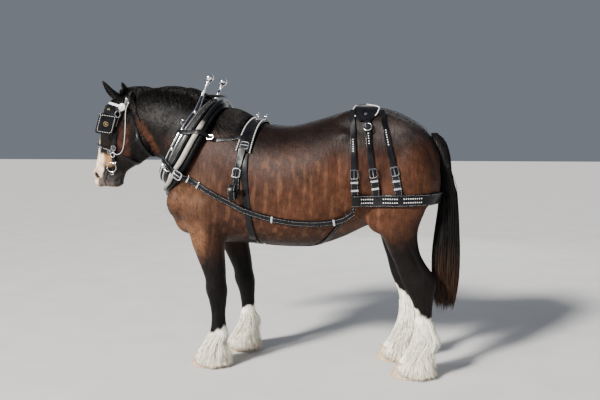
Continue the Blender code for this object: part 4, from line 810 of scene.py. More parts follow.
def tail():
    rng = np.random.default_rng(tailHair["seed"])
    count, length = tailHair["locks"], tailHair["points"]
    # the dock under the hair: x, z, half depth, half width
    dock = resample(((0.905, 1.6, 0.02, 0.03), (0.945, 1.555, 0.028, 0.034), (0.972, 1.47, 0.034, 0.04),
                     (0.985, 1.36, 0.034, 0.038), (0.985, 1.26, 0.026, 0.03)), 80)
    start = rng.uniform(0, 1, count) ** 1.15
    rows = dock[(start * 79).astype(int)]
    turn = rng.uniform(0, 2 * math.pi, count)
    # the whole fall: height, middle x, half depth, half width
    fall = resample(((0.935, 1.58, 0.036, 0.036), (0.965, 1.47, 0.046, 0.052), (0.99, 1.33, 0.054, 0.064),
                     (1.003, 1.17, 0.062, 0.076), (1.0, 1.0, 0.078, 0.086), (0.995, 0.82, 0.092, 0.092),
                     (0.992, 0.6, 0.09, 0.088), (0.985, 0.38, 0.062, 0.062)), 200)
    ends = tailHair["end"] + np.abs(rng.normal(0, 0.1, count)) + 0.1 * rng.uniform(0, 1, count) ** 3
    ends = np.minimum(ends, rows[:, 1] - 0.3)
    depth = np.sqrt(rng.uniform(0.25, 1, count))
    out = spokes(turn)
    paths = np.zeros((count, length, 3))
    for i, share in enumerate(np.linspace(0, 1, length)):
        z = rows[:, 1] + (ends - rows[:, 1]) * share
        middle = np.stack([np.interp(z, fall[::-1, 1], fall[::-1, k]) for k in (0, 2, 3)], 1)
        blend = min(1.0, share * 3.0)
        x = rows[:, 0] * (1 - blend) + middle[:, 0] * blend
        halfDepth = rows[:, 2] * (1 - blend) + middle[:, 1] * blend * depth
        halfWidth = rows[:, 3] * (1 - blend) + middle[:, 2] * blend * depth
        paths[:, i] = np.stack([x + out[:, 0] * halfDepth, out[:, 1] * halfWidth, z], 1)
    paths = clumped(paths, tailHair["clumps"], rng.uniform(0.2, 0.85, count), rng)
    paths = waved(paths, tailHair["wave"], (0.7, 2.2), rng, tangents(turn))
    heights = paths[:, :, 2]
    brown = smoothStep(0.95 - heights, 0.0, 0.45) * (0.35 + 0.65 * rng.uniform(0, 1, (count, 1)))
    shades = rng.uniform(0.6, 1.5, (count, 1, 1))
    dark = np.array(tailHair["root"])
    colours = (dark + (np.array(tailHair["tip"]) - dark) * brown[:, :, None]) * shades
    taper = np.array([0.55] + [1.0] * (length - 5) + [0.9, 0.7, 0.45, 0.0])
    widths = tailHair["width"] * rng.uniform(0.6, 1.25, count)
    bake = np.stack([turn / (2 * math.pi), start], 1)
    piece = hairPiece("tail_hair", paths, widths, out[:, None, :], colours, bake, darkHair, 0.3, taper)
    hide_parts("tail")


featherHair = {"locks": 2500, "points": 7, "width": 0.004, "spill": 0.066, "coronet": 0.105, "sole": 0.004,
               "clumps": 150, "wave": 0.0032, "seed": 40}


def feathers(name):
    side, stride, rows, spread, white = legs[name]
    rng = np.random.default_rng(featherHair["seed"] + len(name) + (side > 0))
    count, length = featherHair["locks"], featherHair["points"]
    turn = rng.uniform(-math.pi, math.pi, count)
    behind = 0.5 + 0.5 * np.cos(turn)
    coronet = featherHair["coronet"]
    high = coronet + (white - 0.03 - coronet) * rng.uniform(0, 1, count) ** 1.35
    low = coronet + 0.05 * rng.uniform(0, 1, count)
    root = np.where(rng.uniform(0, 1, count) < 0.35 + 0.5 * behind, high, low)
    table = resample(rows, 120)[::-1]
    front, back, width = (np.interp(root, table[:, 0], table[:, k]) for k in (1, 2, 3))
    out = spokes(turn)
    fall = (0.05 + 0.125 * behind) * rng.uniform(0.75, 1.15, count)
    floor = 0.006 + 0.02 * rng.uniform(0, 1, count) ** 2 + 0.072 * (1 - behind) ** 4 * rng.uniform(0.7, 1, count)
    tip = np.maximum(root - fall, floor)
    tip = np.where(root < 0.16, floor, tip)
    spill = featherHair["spill"] * (0.2 + 0.85 * np.minimum(1, behind * 1.6)) * rng.uniform(0.55, 1.1, count)
    spill *= smoothStep(0.36 - tip, 0.0, 0.25)
    paths = np.zeros((count, length, 3))
    for i, share in enumerate(np.linspace(0, 1, length)):
        z = root + (tip - root) * share
        f, b, w = (np.interp(z, table[:, 0], table[:, k]) for k in (1, 2, 3))
        f = np.where(z < 0.085, f - 0.4 * (0.085 - z), f)
        hold = np.stack([np.abs(b - f) / 2 + 0.002, w + 0.002, w * 0], 1)
        centre = np.stack([(f + b) / 2 + legShift(z, stride), np.full(count, side * spread), z], 1)
        flare = (spill * share ** 1.5)[:, None]
        paths[:, i] = centre + out * (hold + flare)
    radius = np.stack([np.abs(back - front) / 2, width, width * 0], 1)
    middle = np.stack([(front + back) / 2 + legShift(root, stride), np.full(count, side * spread), root], 1)
    paths[:, 0] = middle + out * (radius - 0.004)
    paths = clumped(paths, featherHair["clumps"], rng.uniform(0.15, 0.8, count), rng)
    paths = waved(paths, featherHair["wave"], (0.5, 1.2), rng, tangents(turn))
    paths[:, :, 2] = np.maximum(paths[:, :, 2], featherHair["sole"])
    tone = rng.uniform(0.88, 1.1, (count, 1, 1))
    # creamier towards the ground
    creamBelow = smoothStep(0.1 - paths[:, :, 2], 0, 0.1) * rng.uniform(0.1, 0.8, (count, 1))
    colours = np.array(coatColours["white"]) * tone
    colours = colours + (np.array(coatColours["cream"]) * 0.92 - colours) * creamBelow[:, :, None]
    taper = np.array([0.8, 1.0, 1.0, 0.95, 0.8, 0.5, 0.0])
    widths = featherHair["width"] * rng.uniform(0.6, 1.2, count)
    bake = np.stack([(turn / math.pi + 1) / 2, root / 0.5], 1)
    piece = hairPiece("feather_" + name, paths, widths, out[:, None, :], colours, bake, whiteHair,
                      0.35, taper)
    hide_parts("foot_" + name)


tail()
for legName in legs:
    feathers(legName)


# Leather, metal and trim
def patentLeather(name, colour, rough, wrinkle):
    m = Nodes(name)
    grain, creases = m.noise(220.0, 4.0), m.noise(16.0, 3.0)
    dust = m.ramp(creases, ((0.35, colour), (0.75, tuple(c * 1.8 + 0.003 for c in colour))))
    m.bump(m.mathNode("ADD", creases, m.mathNode("MULTIPLY", grain, 0.1)), 0.0016, wrinkle)
    shine = m.ramp(creases, ((0.3, rough), (0.8, rough + 0.16)))
    return m.set(Base_Color=dust, Roughness=shine, Coat_Weight=0.08, Coat_Roughness=0.1, Specular_IOR_Level=0.14)


def metal(name, colour, rough):
    m = Nodes(name)
    smear = m.noise(60.0, 4.0)
    tint = m.ramp(smear, ((0.3, colour), (0.75, tuple(c * 0.8 for c in colour))))
    return m.set(Base_Color=tint, Metallic=1.0, Roughness=m.ramp(smear, ((0.3, rough), (0.8, rough + 0.15))))


def trimMaterial(name, colour, rough):
    m = Nodes(name)
    soil = m.noise(45.0, 4.0)
    tint = m.ramp(soil, ((0.3, colour), (0.8, tuple(c * 0.72 for c in colour))))
    m.bump(soil, 0.0008, 0.4)
    return m.set(Base_Color=tint, Roughness=rough, Coat_Weight=0.4, Coat_Roughness=0.2)


blackPatent = patentLeather("blackPatent", (0.003, 0.003, 0.004), 0.24, 0.35)


def rollMaterial():
    # a pale band painted along the sides of the roll as the reflection of light on its black leather, with a noise
    # mottle, going over to black above and below
    m = Nodes("paintedGlareRoll")
    height = m.add("SeparateXYZ", {"Vector": m.place}).outputs["Z"]
    glareMottle = m.noise(28.0, 5.0)
    level = m.mathNode("ADD", height, m.mathNode("MULTIPLY", glareMottle, 0.06))
    pale = m.ramp(glareMottle, ((0.3, (0.42, 0.39, 0.34)), (0.75, (0.27, 0.25, 0.22))))
    share = m.ramp(m.mathNode("MULTIPLY", level, 0.5), ((0.618, 0.0), (0.643, 1.0), (0.835, 1.0), (0.86, 0.0)))
    m.bump(glareMottle, 0.0015, 0.5)
    return m.set(Base_Color=m.mixColour("MIX", share, (0.004, 0.004, 0.005), pale), Roughness=0.34,
                 Coat_Weight=0.1, Coat_Roughness=0.1, Specular_IOR_Level=0.25)


paintedGlareRoll = rollMaterial()
greyLeather = patentLeather("greyLeather", (0.011, 0.0107, 0.0107), 0.4, 1.0)
chromeMetal = metal("polishedChrome", (0.86, 0.87, 0.9), 0.1)
brassMetal = metal("brightBrass", (0.8, 0.62, 0.3), 0.16)
whitePatent = trimMaterial("whitePatent", (0.8, 0.8, 0.77), 0.28)
whiteThread = trimMaterial("whiteThread", (0.82, 0.82, 0.78), 0.6)

treeOf = {"skin": skinTree}  # what a strap can lie on, by name
frames = {}  # where each strap runs: point on its outer face, way along, way out, way across, half width
stitchLines, spotLines, buckleSpots, keeperSpots = [], [], [], []


def awayFrom(a, b):
    a, b = Vector(a), Vector(b)
    along = (b - a).normalized()
    return lambda p: ((p - a) - along * (p - a).dot(along)).normalized()


def sided(points, side):
    return [(x, -side * y, z) for x, y, z in points]


def mirrored(points):
    # a line from the left over the middle, and down the right
    return list(points) + [(x, -y, z) for x, y, z in points[-2::-1]]


strapSection = ((-1, 0), (-1, 0.62), (-0.93, 0.95), (-0.8, 1), (0, 1.12), (0.8, 1), (0.93, 0.95), (1, 0.62), (1, 0))


def layStrap(name, points, width, thick, under, aim, closed=False, section=strapSection, material=None,
             node=None, step=0.01, reach=0.12, lift=0.001, bedded=None):
    # a band laid on the skin and on other straps; aim gives the way out of the body at a point
    trees = [treeOf[n] for n in under]
    line = smoothLine(points, step, closed)
    count = len(line)
    widths = width if isinstance(width, (list, tuple)) else (width, width)
    left, right, places = [], [], []
    for i, point in enumerate(line):
        ahead = aheadAt(line, i, closed)
        out = aim(point)
        out = (out - ahead * out.dot(ahead)).normalized()
        side = ahead.cross(out)
        half = float(np.interp(i / (count - 1), np.linspace(0, 1, len(widths)), widths)) / 2
        levels = []
        for share in (-1, -0.5, 0, 0.5, 1):
            start = point + side * half * share + out * reach
            hits = [tree.ray_cast(start, -out, 2 * reach) for tree in trees]
            found = [reach - hit[3] for hit in hits if hit[0] is not None]
            levels.append(max(found) if found else -1.0)
        if max(levels) < -0.9:
            levels = [0.0] * 5
        levels = [max(value, max(levels) - 0.02) for value in levels]
        chord = np.linspace(levels[0], levels[-1], 5)
        rise = max(value - base for value, base in zip(levels, chord))
        left.append(levels[0] + rise)
        right.append(levels[-1] + rise)
        places.append((point, ahead, out, side, half))
    span = max(1, round(0.03 / step))
    mode = "wrap" if closed else "edge"

    def eased(values):
        padded = np.pad(np.array(values), span, mode)
        high = np.array([padded[k:k + 2 * span + 1].max() for k in range(count)])
        padded = np.pad(high, span, mode)
        return np.array([padded[k:k + 2 * span + 1].mean() for k in range(count)])

    left, right = eased(left), eased(right)
    rings, run = [], []
    for i, (point, ahead, out, side, half) in enumerate(places):
        a = point - side * half + out * (left[i] + lift)
        b = point + side * half + out * (right[i] + lift)
        normal = (b - a).cross(ahead).normalized()
        normal = -normal if normal.dot(out) < 0 else normal
        rings.append([a.lerp(b, (share + 1) / 2) + normal * height * thick for share, height in section])
        run.append(((a + b) / 2 + normal * thick * 1.06, ahead, normal, (b - a).normalized(), half))
    if bedded:
        rings = [[bedded(p) for p in ring] for ring in rings]
        run = [(p + bedded(p - out) - (p - out), ahead, out, across, half) for p, ahead, out, across, half in run]
    bm = bmesh.new()
    bridge(bm, rings, closed)
    mesh = meshFrom(bm)
    treeOf[name] = treeFrom(mesh)
    frames[name] = run
    mesh.set_sharp_from_angle(angle=math.radians(50))
    piece = newObject((node or name) + "_band", placeMesh(mesh), material or blackPatent)
    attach(piece, "root")
    if node:
        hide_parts(node)
    return piece


def edgeLines(name, inset, start=0.0, end=1.0, sides=(-1, 1), into=None, raised=0.0):
    # lines along a strap at a distance from its edges, for thread or spots
    run = frames[name]
    first, last = round(start * (len(run) - 1)), round(end * (len(run) - 1))
    target = stitchLines if into is None else into
    for side in sides:
        line = []
        for point, ahead, out, across, half in run[first:last + 1]:
            line.append((point + across * side * (half - inset) - out * 0.0006 + out * raised, out))
        target.append(line)


def frameAt(name, test):
    # the place on a strap where a measure of its point is nearest to zero
    return min(frames[name], key=lambda f: abs(test(f[0])))


def atX(value):
    return lambda p: p.x - value


def atZ(value):
    return lambda p: p.z - value


def nearTo(place):
    return lambda p: (p - Vector(place)).length


def fitted(spots, strap, test, lift, size, turned=False):
    # a buckle or keeper on a strap, where the test comes nearest to zero
    p, ahead, out, across, half = frameAt(strap, test)
    spots.append((p + out * lift, across if turned else ahead, out, Vector(size)))


def spotsAlong(target, run, shift=0.0):
    target.append([(p + across * shift - out * 0.0006, out) for p, ahead, out, across, half in run])


def instanceTree(name, alongLine):
    tree = bpy.data.node_groups.new(name, "GeometryNodeTree")
    for label, kind in (("Places", "Geometry"), ("Piece", "Object"), ("Finish", "Material"), ("Spacing", "Float")):
        tree.interface.new_socket(label, in_out="INPUT", socket_type="NodeSocket" + kind)
    tree.interface.new_socket("Pieces", in_out="OUTPUT", socket_type="NodeSocketGeometry")

    def add(kind, **settings):
        node = tree.nodes.new(kind)
        for key, value in settings.items():
            setattr(node, key, value)
        return node

    def stored(label):
        reader = add("GeometryNodeInputNamedAttribute", data_type="FLOAT_VECTOR")
        reader.inputs["Name"].default_value = label
        return reader.outputs["Attribute"]

    link = tree.links.new
    given, out = add("NodeGroupInput"), add("NodeGroupOutput")
    places = given.outputs["Places"]
    if alongLine:
        curve = add("GeometryNodeMeshToCurve")
        even = add("GeometryNodeResampleCurve", mode="LENGTH")
        link(places, curve.inputs["Mesh"])
        link(curve.outputs[0], even.inputs["Curve"])
        link(given.outputs["Spacing"], even.inputs["Length"])
        places = even.outputs[0]
        ahead = add("GeometryNodeInputTangent").outputs[0]
    else:
        ahead = stored("ahead")
    first = add("FunctionNodeAlignRotationToVector", axis="X")
    second = add("FunctionNodeAlignRotationToVector", axis="Z", pivot_axis="X")
    link(ahead, first.inputs["Vector"])
    link(first.outputs[0], second.inputs["Rotation"])
    link(stored("up"), second.inputs["Vector"])
    source = add("GeometryNodeObjectInfo")
    link(given.outputs["Piece"], source.inputs["Object"])
    copies = add("GeometryNodeInstanceOnPoints")
    link(places, copies.inputs["Points"])
    link(source.outputs["Geometry"], copies.inputs["Instance"])
    link(second.outputs[0], copies.inputs["Rotation"])
    if not alongLine:
        link(stored("size"), copies.inputs["Scale"])
    solid = add("GeometryNodeRealizeInstances")
    dressed = add("GeometryNodeSetMaterial")
    link(copies.outputs[0], solid.inputs[0])
    link(solid.outputs[0], dressed.inputs["Geometry"])
    link(given.outputs["Finish"], dressed.inputs["Material"])
    link(dressed.outputs[0], out.inputs[0])
    return tree


lineTree, spotTree = instanceTree("piecesAlongLines", True), instanceTree("piecesAtSpots", False)


def repeated(name, template, lines, material, spacing=0.0):
    # copies of a small shape along lines of (point, up), or at spots of (point, ahead, up, size)
    mesh = bpy.data.meshes.new(name)
    if spacing:
        flat = [place for line in lines for place in line]
        edges, start = [], 0
        for line in lines:
            edges += [(start + k, start + k + 1) for k in range(len(line) - 1)]
            start += len(line)
        mesh.from_pydata([p + horseShift for p, up in flat], edges, [])
        vectors = {"up": [up for p, up in flat]}
    else:
        mesh.from_pydata([spot[0] + horseShift for spot in lines], [], [])
        vectors = {key: [spot[k] for spot in lines] for k, key in ((1, "ahead"), (2, "up"), (3, "size"))}
    for key, values in vectors.items():
        layer = mesh.attributes.new(key, "FLOAT_VECTOR", "POINT")
        layer.data.foreach_set("vector", np.array([tuple(v) for v in values], float).ravel())
    holder = newObject(name, mesh, smooth=False)
    shape = newObject("shape", template, smooth=False)
    tree = lineTree if spacing else spotTree
    modifier = holder.modifiers.new("copies", "NODES")
    modifier.node_group = tree
    keys = {item.name: item.identifier for item in tree.interface.items_tree if item.in_out == "INPUT"}
    modifier[keys["Piece"]] = shape
    modifier[keys["Finish"]] = material
    modifier[keys["Spacing"]] = float(spacing)
    made = finishedMesh(holder)
    bpy.data.objects.remove(shape, do_unlink=True)
    piece = newObject(name, made, None)
    made.set_sharp_from_angle(angle=math.radians(40))
    print(name, "has", len(made.polygons), "faces")
    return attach(piece, "root")


def domeShape(length, width, height, segments=8, rings=5):
    bm = bmesh.new()
    bmesh.ops.create_uvsphere(bm, u_segments=segments, v_segments=rings, radius=1)
    bmesh.ops.scale(bm, vec=(length / 2, width / 2, height), verts=bm.verts)
    return meshFrom(bm)


def loopShape(length, width, wire, flat=1.0, tongue=True, corner=0.3, sides=8):
    # a rounded frame lying flat, with a tongue along it
    ring = []
    for k in range(28):
        a = math.tau * (k + 0.5) / 28
        power = 2 / (2 + 3 * (1 - corner))
        x, y = signedPower(math.cos(a), power) * length / 2, signedPower(math.sin(a), power) * width / 2
        ring.append(Vector((x, y, 0)))
    bm = bmesh.new()
    bridge(bm, tubeRings(ring, wire, Vector((0, 0, 1)), sides, True, flat), True)
    if tongue:
        bar = [Vector((x, 0, wire * h)) for x, h in ((-0.48, 0.4), (-0.2, 1.0), (0.2, 1.2), (0.53, 0.9))]
        bar = [Vector((p.x * length, 0, p.z)) for p in bar]
        bridge(bm, tubeRings(bar, wire * 0.75, Vector((0, 0, 1)), 6))
    return meshFrom(bm)


def blockShape(length, width, height, bevel):
    bm = bmesh.new()
    bmesh.ops.create_cube(bm, size=1)
    bmesh.ops.scale(bm, vec=(length, width, height), verts=bm.verts)
    bmesh.ops.bevel(bm, geom=bm.edges[:], offset=bevel, segments=2, affect="EDGES", profile=0.6)
    return meshFrom(bm)


# Lines of the harness on the left side, or from the left over the middle
padLine = mirrored([(-0.315, -0.315, 1.475), (-0.295, -0.25, 1.58), (-0.28, -0.12, 1.65), (-0.278, 0, 1.667)])
girthLine = mirrored([(-0.3, -0.32, 1.46), (-0.3, -0.36, 1.33), (-0.285, -0.36, 1.15), (-0.28, -0.3, 0.95),
                      (-0.275, -0.15, 0.86), (-0.27, 0, 0.835)])
tugStrapLine = [(-0.318, -0.31, 1.49), (-0.338, -0.345, 1.4), (-0.353, -0.36, 1.33), (-0.361, -0.375, 1.19)]
tugPlace = Vector((-0.361, 0.412, 1.217))
platePoints = mirrored([(0.474, -0.215, 1.6), (0.468, -0.15, 1.665), (0.448, -0.08, 1.725), (0.43, 0, 1.765)])
backLine = [(-0.24, 0, 1.68), (-0.05, 0, 1.65), (0.15, 0, 1.7), (0.43, 0, 1.77), (0.62, 0, 1.75),
            (0.77, 0, 1.68), (0.87, 0, 1.62)]
hipLines = {
    "front": [(0.392, -0.15, 1.692), (0.391, -0.2, 1.62), (0.402, -0.27, 1.52), (0.412, -0.33, 1.38),
              (0.418, -0.34, 1.165)],
    "middle": [(0.478, -0.19, 1.63), (0.492, -0.24, 1.57), (0.512, -0.31, 1.44), (0.535, -0.33, 1.32),
               (0.555, -0.33, 1.165)],
    "rear": [(0.54, -0.135, 1.685), (0.566, -0.17, 1.62), (0.61, -0.24, 1.5), (0.66, -0.29, 1.36),
             (0.7, -0.29, 1.165)],
}
breechingLine = mirrored([(0.4, -0.34, 1.165), (0.56, -0.335, 1.167), (0.72, -0.29, 1.172), (0.85, -0.2, 1.178),
                          (0.93, -0.1, 1.182), (0.95, 0, 1.183)])
quarterLine = [(0.415, -0.33, 1.105), (0.345, -0.31, 1.02), (0.25, -0.22, 0.92), (0.14, -0.09, 0.855),
               (0.03, -0.04, 0.835), (-0.235, -0.04, 0.835)]
traceLine = [(-0.868, -0.25, 1.415), (-0.776, -0.3, 1.338), (-0.68, -0.31, 1.283), (-0.5, -0.35, 1.185),
             (-0.29, -0.37, 1.09), (-0.05, -0.38, 1.03), (0.16, -0.37, 1.015), (0.32, -0.35, 1.035),
             (0.4, -0.34, 1.085)]
breastLine = [(-0.958, 0, 1.15), (-0.948, 0, 1.05), (-0.915, 0, 0.98), (-0.84, 0, 0.9), (-0.7, 0, 0.85),
              (-0.52, 0, 0.835), (-0.31, 0, 0.835)]
browLine = mirrored([(-1.272, -0.108, 1.792), (-1.345, -0.085, 1.812), (-1.395, -0.04, 1.825), (-1.405, 0, 1.83)])
crownLine = mirrored([(-1.245, -0.105, 1.755), (-1.235, -0.095, 1.81), (-1.222, -0.06, 1.87), (-1.215, 0, 1.895)])
noseLine = [(-1.487, 0, 1.515), (-1.43, -0.06, 1.5), (-1.35, -0.075, 1.475), (-1.27, -0.05, 1.43),
            (-1.235, 0, 1.405), (-1.27, 0.05, 1.43), (-1.35, 0.075, 1.475), (-1.43, 0.06, 1.5)]
throatLine = mirrored([(-1.222, -0.105, 1.775), (-1.185, -0.11, 1.7), (-1.135, -0.1, 1.56),
                       (-1.095, -0.05, 1.49), (-1.085, 0, 1.47)])
cheekLine = [(-1.262, -0.11, 1.765), (-1.288, -0.11, 1.68), (-1.314, -0.1, 1.58), (-1.334, -0.09, 1.48),
             (-1.346, -0.08, 1.405)]
collarTop, collarBottom = Vector((-0.57, 0, 1.8)), Vector((-0.925, 0, 1.13))
collarMiddle = Vector((-0.755, 0, 1.475))
collarUp = (collarTop - collarBottom).normalized()
collarAhead = Vector((-collarUp.z, 0, collarUp.x))
trunkAxis = awayFrom((-1, 0, 1.22), (1, 0, 1.22))
rearAxis = awayFrom((0.42, 0, 0), (0.42, 0, 2))
breastAxis = awayFrom((-0.62, -1, 1.22), (-0.62, 1, 1.22))
headAxis = awayFrom((-1.2, 0, 1.78), (-1.42, 0, 1.27))
throatAxis = awayFrom((-1.15, 0, 1.68), (-1.15 - 0.96, 0, 1.68 - 0.27))
bothSides = ((-1, "left"), (1, "right"))


def addPiece(name, mesh, material, slot, *nodeNames, sharp=45):
    piece = newObject(name, placeMesh(mesh), material)
    mesh.set_sharp_from_angle(angle=math.radians(sharp))
    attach(piece, "root")
    if nodeNames:
        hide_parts(*nodeNames)
    return piece



def outward(p):
    return Vector((0, math.copysign(1, p.y), 0))


# The collar: a stuffed body roll at the back, a flat wale, the groove of the hames and a front roll
collarSettings = {
    "widths": (0.125, 0.16, 0.18, 0.185, 0.165, 0.125, 0.125, 0.165, 0.185, 0.18, 0.16, 0.125), "back": 0.01,
    "above": 0.4, "below": 0.288, "sunk": (0.05, 0, 0.022),
    "profile": ((-1.0, 0.0), (-1.03, 0.012), (-1.0, 0.03), (-0.93, 0.044), (-0.84, 0.05), (-0.76, 0.048),
                (-0.71, 0.042), (-0.66, 0.055), (-0.58, 0.065), (-0.47, 0.069), (-0.36, 0.066), (-0.27, 0.055),
                (-0.23, 0.038), (-0.17, 0.032), (-0.11, 0.034), (-0.07, 0.043), (0.1, 0.047), (0.3, 0.045),
                (0.48, 0.04), (0.55, 0.034), (0.59, 0.026), (0.86, 0.022), (0.89, 0.028), (0.93, 0.033),
                (0.98, 0.028), (1.01, 0.01), (1.0, -0.012), (0.97, -0.03), (0.9, -0.04)),
    "roll": (7, 10), "wale": (16, 18), "stitches": ((0.08, 0.0475), (0.47, 0.0405)),
}


def collar():
    # the lower end is shorter, and turned forward to lie on the breast
    above, below = collarSettings["above"], collarSettings["below"]
    middle = collarMiddle - collarAhead * collarSettings["back"]
    loop = circle(middle, collarUp * above, Vector((0, -0.235, 0)), 12)
    loop = [p - collarUp * min(0, (p - middle).dot(collarUp)) * (1 - below / above) for p in loop]
    radial = awayFrom(collarMiddle, collarMiddle + collarAhead)

    def around(p):
        low = min(1, max(0, (middle - p).dot(collarUp) / below))
        return (radial(p) + collarAhead * low ** 2).normalized()

    def bedded(p):
        # both lower corners sink into the breast
        low = smoothStep(1.35 - p.z, 0, 0.13) * smoothStep(abs(p.y), 0.04, 0.15)
        return p + Vector(collarSettings["sunk"]) * float(low)

    piece = layStrap("collar", loop, collarSettings["widths"], 1.0, ("skin",), around, True,
                     collarSettings["profile"], node="collar", step=0.014, reach=0.25, bedded=bedded)
    sides = len(collarSettings["profile"])
    for index, (part, material) in enumerate((("roll", paintedGlareRoll), ("wale", greyLeather)), 1):
        piece.data.materials.append(material)
        low, high = collarSettings[part]
        for face in piece.data.polygons:
            if low <= face.index % sides <= high:
                face.material_index = index
    run = frames["collar"]
    for share, height in collarSettings["stitches"]:
        stitchLines.append([(p + across * half * share - out * (1.06 - height), out)
                            for p, ahead, out, across, half in run + run[:1]])


collar()
hameSettings = {"ahead": 0.056, "ball": Vector((-0.594, 0.15, 1.973)), "ballRadius": 0.028,
                "lean": Vector((-0.42, -0.02, -0.91)), "half": 0.0125, "edge": 0.0048}


def hame(side, name):
    # a flat bar with two bright edges in the groove of the collar, drawn out to a rod with a ball
    tree = treeOf["collar"]
    mirror = Vector((1, side, 1))
    ball, lean = hameSettings["ball"] * mirror, (hameSettings["lean"] * mirror).normalized()
    line, radii = [], []
    for k in range(1, 12):
        share = math.cos(math.pi * k / 12)
        line.append(ball - lean * hameSettings["ballRadius"] * share)
        radii.append(hameSettings["ballRadius"] * math.sqrt(1 - share * share))
    for down, radius in ((0.0285, 0.011), (0.032, 0.014), (0.036, 0.014), (0.04, 0.0085), (0.056, 0.008),
                         (0.06, 0.012), (0.064, 0.012), (0.068, 0.0085), (0.09, 0.0095), (0.115, 0.0115),
                         (0.13, 0.0125), (0.136, 0.006)):
        line.append(ball + lean * down)
        radii.append(radius)
    bar = []
    for angle in range(34, 172, 5):
        out = collarUp * math.cos(math.radians(angle)) + Vector((0, side * math.sin(math.radians(angle)), 0))
        at = collarMiddle + collarAhead * hameSettings["ahead"]
        hit = tree.ray_cast(at + out * 0.7, -out, 0.7)
        bar.append(hit[0] + out * 0.01)
    bar = smoothLine([ball + lean * 0.122] + bar[::3], 0.012)
    ends = len(bar) - 1
    bar = [sum((bar[min(max(i + k, 0), ends)] for k in (-2, -1, 0, 1, 2)), Vector()) / 5 for i in range(len(bar))]
    bm = bmesh.new()
    bridge(bm, tubeRings(line, radii, collarAhead, 14))
    wide = [hameSettings["half"] * float(np.interp(k / len(bar), (0, 0.1, 0.9, 1), (0.55, 1, 1, 0.6)))
            for k in range(len(bar))]
    for way in (-1, 1):
        edge = [p + collarAhead * way * half for p, half in zip(bar, wide)]
        bridge(bm, tubeRings(edge, hameSettings["edge"], collarAhead, 10))
    for end in (0, -1):
        rim = [bar[end] + collarAhead * wide[end] * k / 3 for k in range(-3, 4)]
        bridge(bm, tubeRings(rim, hameSettings["edge"] * 1.1, Vector((0, side, 0.3)), 10))
    addPiece("hame_" + name + "_edges", meshFrom(bm), chromeMetal, "chrome", "hame_" + name, sharp=50)
    bm = bmesh.new()
    rings = []
    for k, (p, half) in enumerate(zip(bar, wide)):
        out = collarAhead.cross(aheadAt(bar, k)).normalized()
        out = -out if out.y * side < 0 else out
        rings.append([p + collarAhead * half * a + out * b for a, b in
                      ((-1, -0.004), (1, -0.004), (1, 0.001), (0.5, 0.0035), (-0.5, 0.0035), (-1, 0.001))])
    bridge(bm, rings)
    core = newObject("hame_" + name + "_core", placeMesh(meshFrom(bm)), blackPatent)
    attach(core, "root")
    return bar


hameBars = {name: hame(side, name) for side, name in bothSides}

padWidths = (0.112, 0.1, 0.088, 0.082, 0.088, 0.1, 0.112)
plateWidths = (0.075, 0.15, 0.175, 0.13, 0.085, 0.06, 0.085, 0.13, 0.175, 0.15, 0.075)
layStrap("pad", padLine, padWidths, 0.01, ("skin",), trunkAxis, node="back_pad", lift=0.002)
layStrap("girth", girthLine, 0.045, 0.005, ("skin", "pad"), trunkAxis, node="girth")
for side, name in bothSides:
    layStrap("tugStrap_" + name, sided(tugStrapLine, side), 0.05, 0.005, ("skin", "pad", "girth"), trunkAxis,
             node="tug_strap_" + name)
layStrap("plate", platePoints, plateWidths, 0.005, ("skin",), trunkAxis, node="hip_plate")
layStrap("back", backLine, 0.026, 0.003, ("skin", "pad", "plate"), trunkAxis, node="back_strap")
for side, name in bothSides:
    for part, points in hipLines.items():
        layStrap("hip_" + part + "_" + name, sided(points, side), 0.036, 0.005, ("skin", "plate", "back"), trunkAxis,
                 node="hip_strap_" + part + "_" + name)
hipNames = tuple(n for n in treeOf if n.startswith("hip_"))
layStrap("breeching", breechingLine, 0.076, 0.008, ("skin",) + hipNames, rearAxis, node="breeching")
for side, name in bothSides:
    layStrap("quarter_" + name, sided(quarterLine, side), 0.03, 0.005, ("skin", "breeching"), trunkAxis,
             node="quarter_strap_" + name)
    layStrap("trace_" + name, sided(traceLine, side), 0.04, 0.009, ("skin", "collar", "girth", "quarter_" + name),
             outward, node="trace_" + name)
layStrap("breast", breastLine, 0.034, 0.005, ("skin", "girth"), breastAxis, node="martingale")
layStrap("brow", browLine, 0.017, 0.004, ("skin",), headAxis, node="browband", material=whitePatent,
         step=0.006)
layStrap("crown", crownLine, 0.034, 0.005, ("skin",), headAxis, node="crown", material=greyLeather, step=0.006)
layStrap("nose", noseLine, 0.026, 0.005, ("skin",), headAxis, True, node="noseband", step=0.006)
layStrap("throat", throatLine, 0.02, 0.004, ("skin", "crown"), throatAxis, node="throatlatch", step=0.006)
for side, name in bothSides:
    layStrap("cheek_" + name, sided(cheekLine, side), 0.026, 0.005, ("skin", "nose", "crown", "brow"), headAxis,
             node="cheek_" + name, step=0.006)
print("straps are laid")

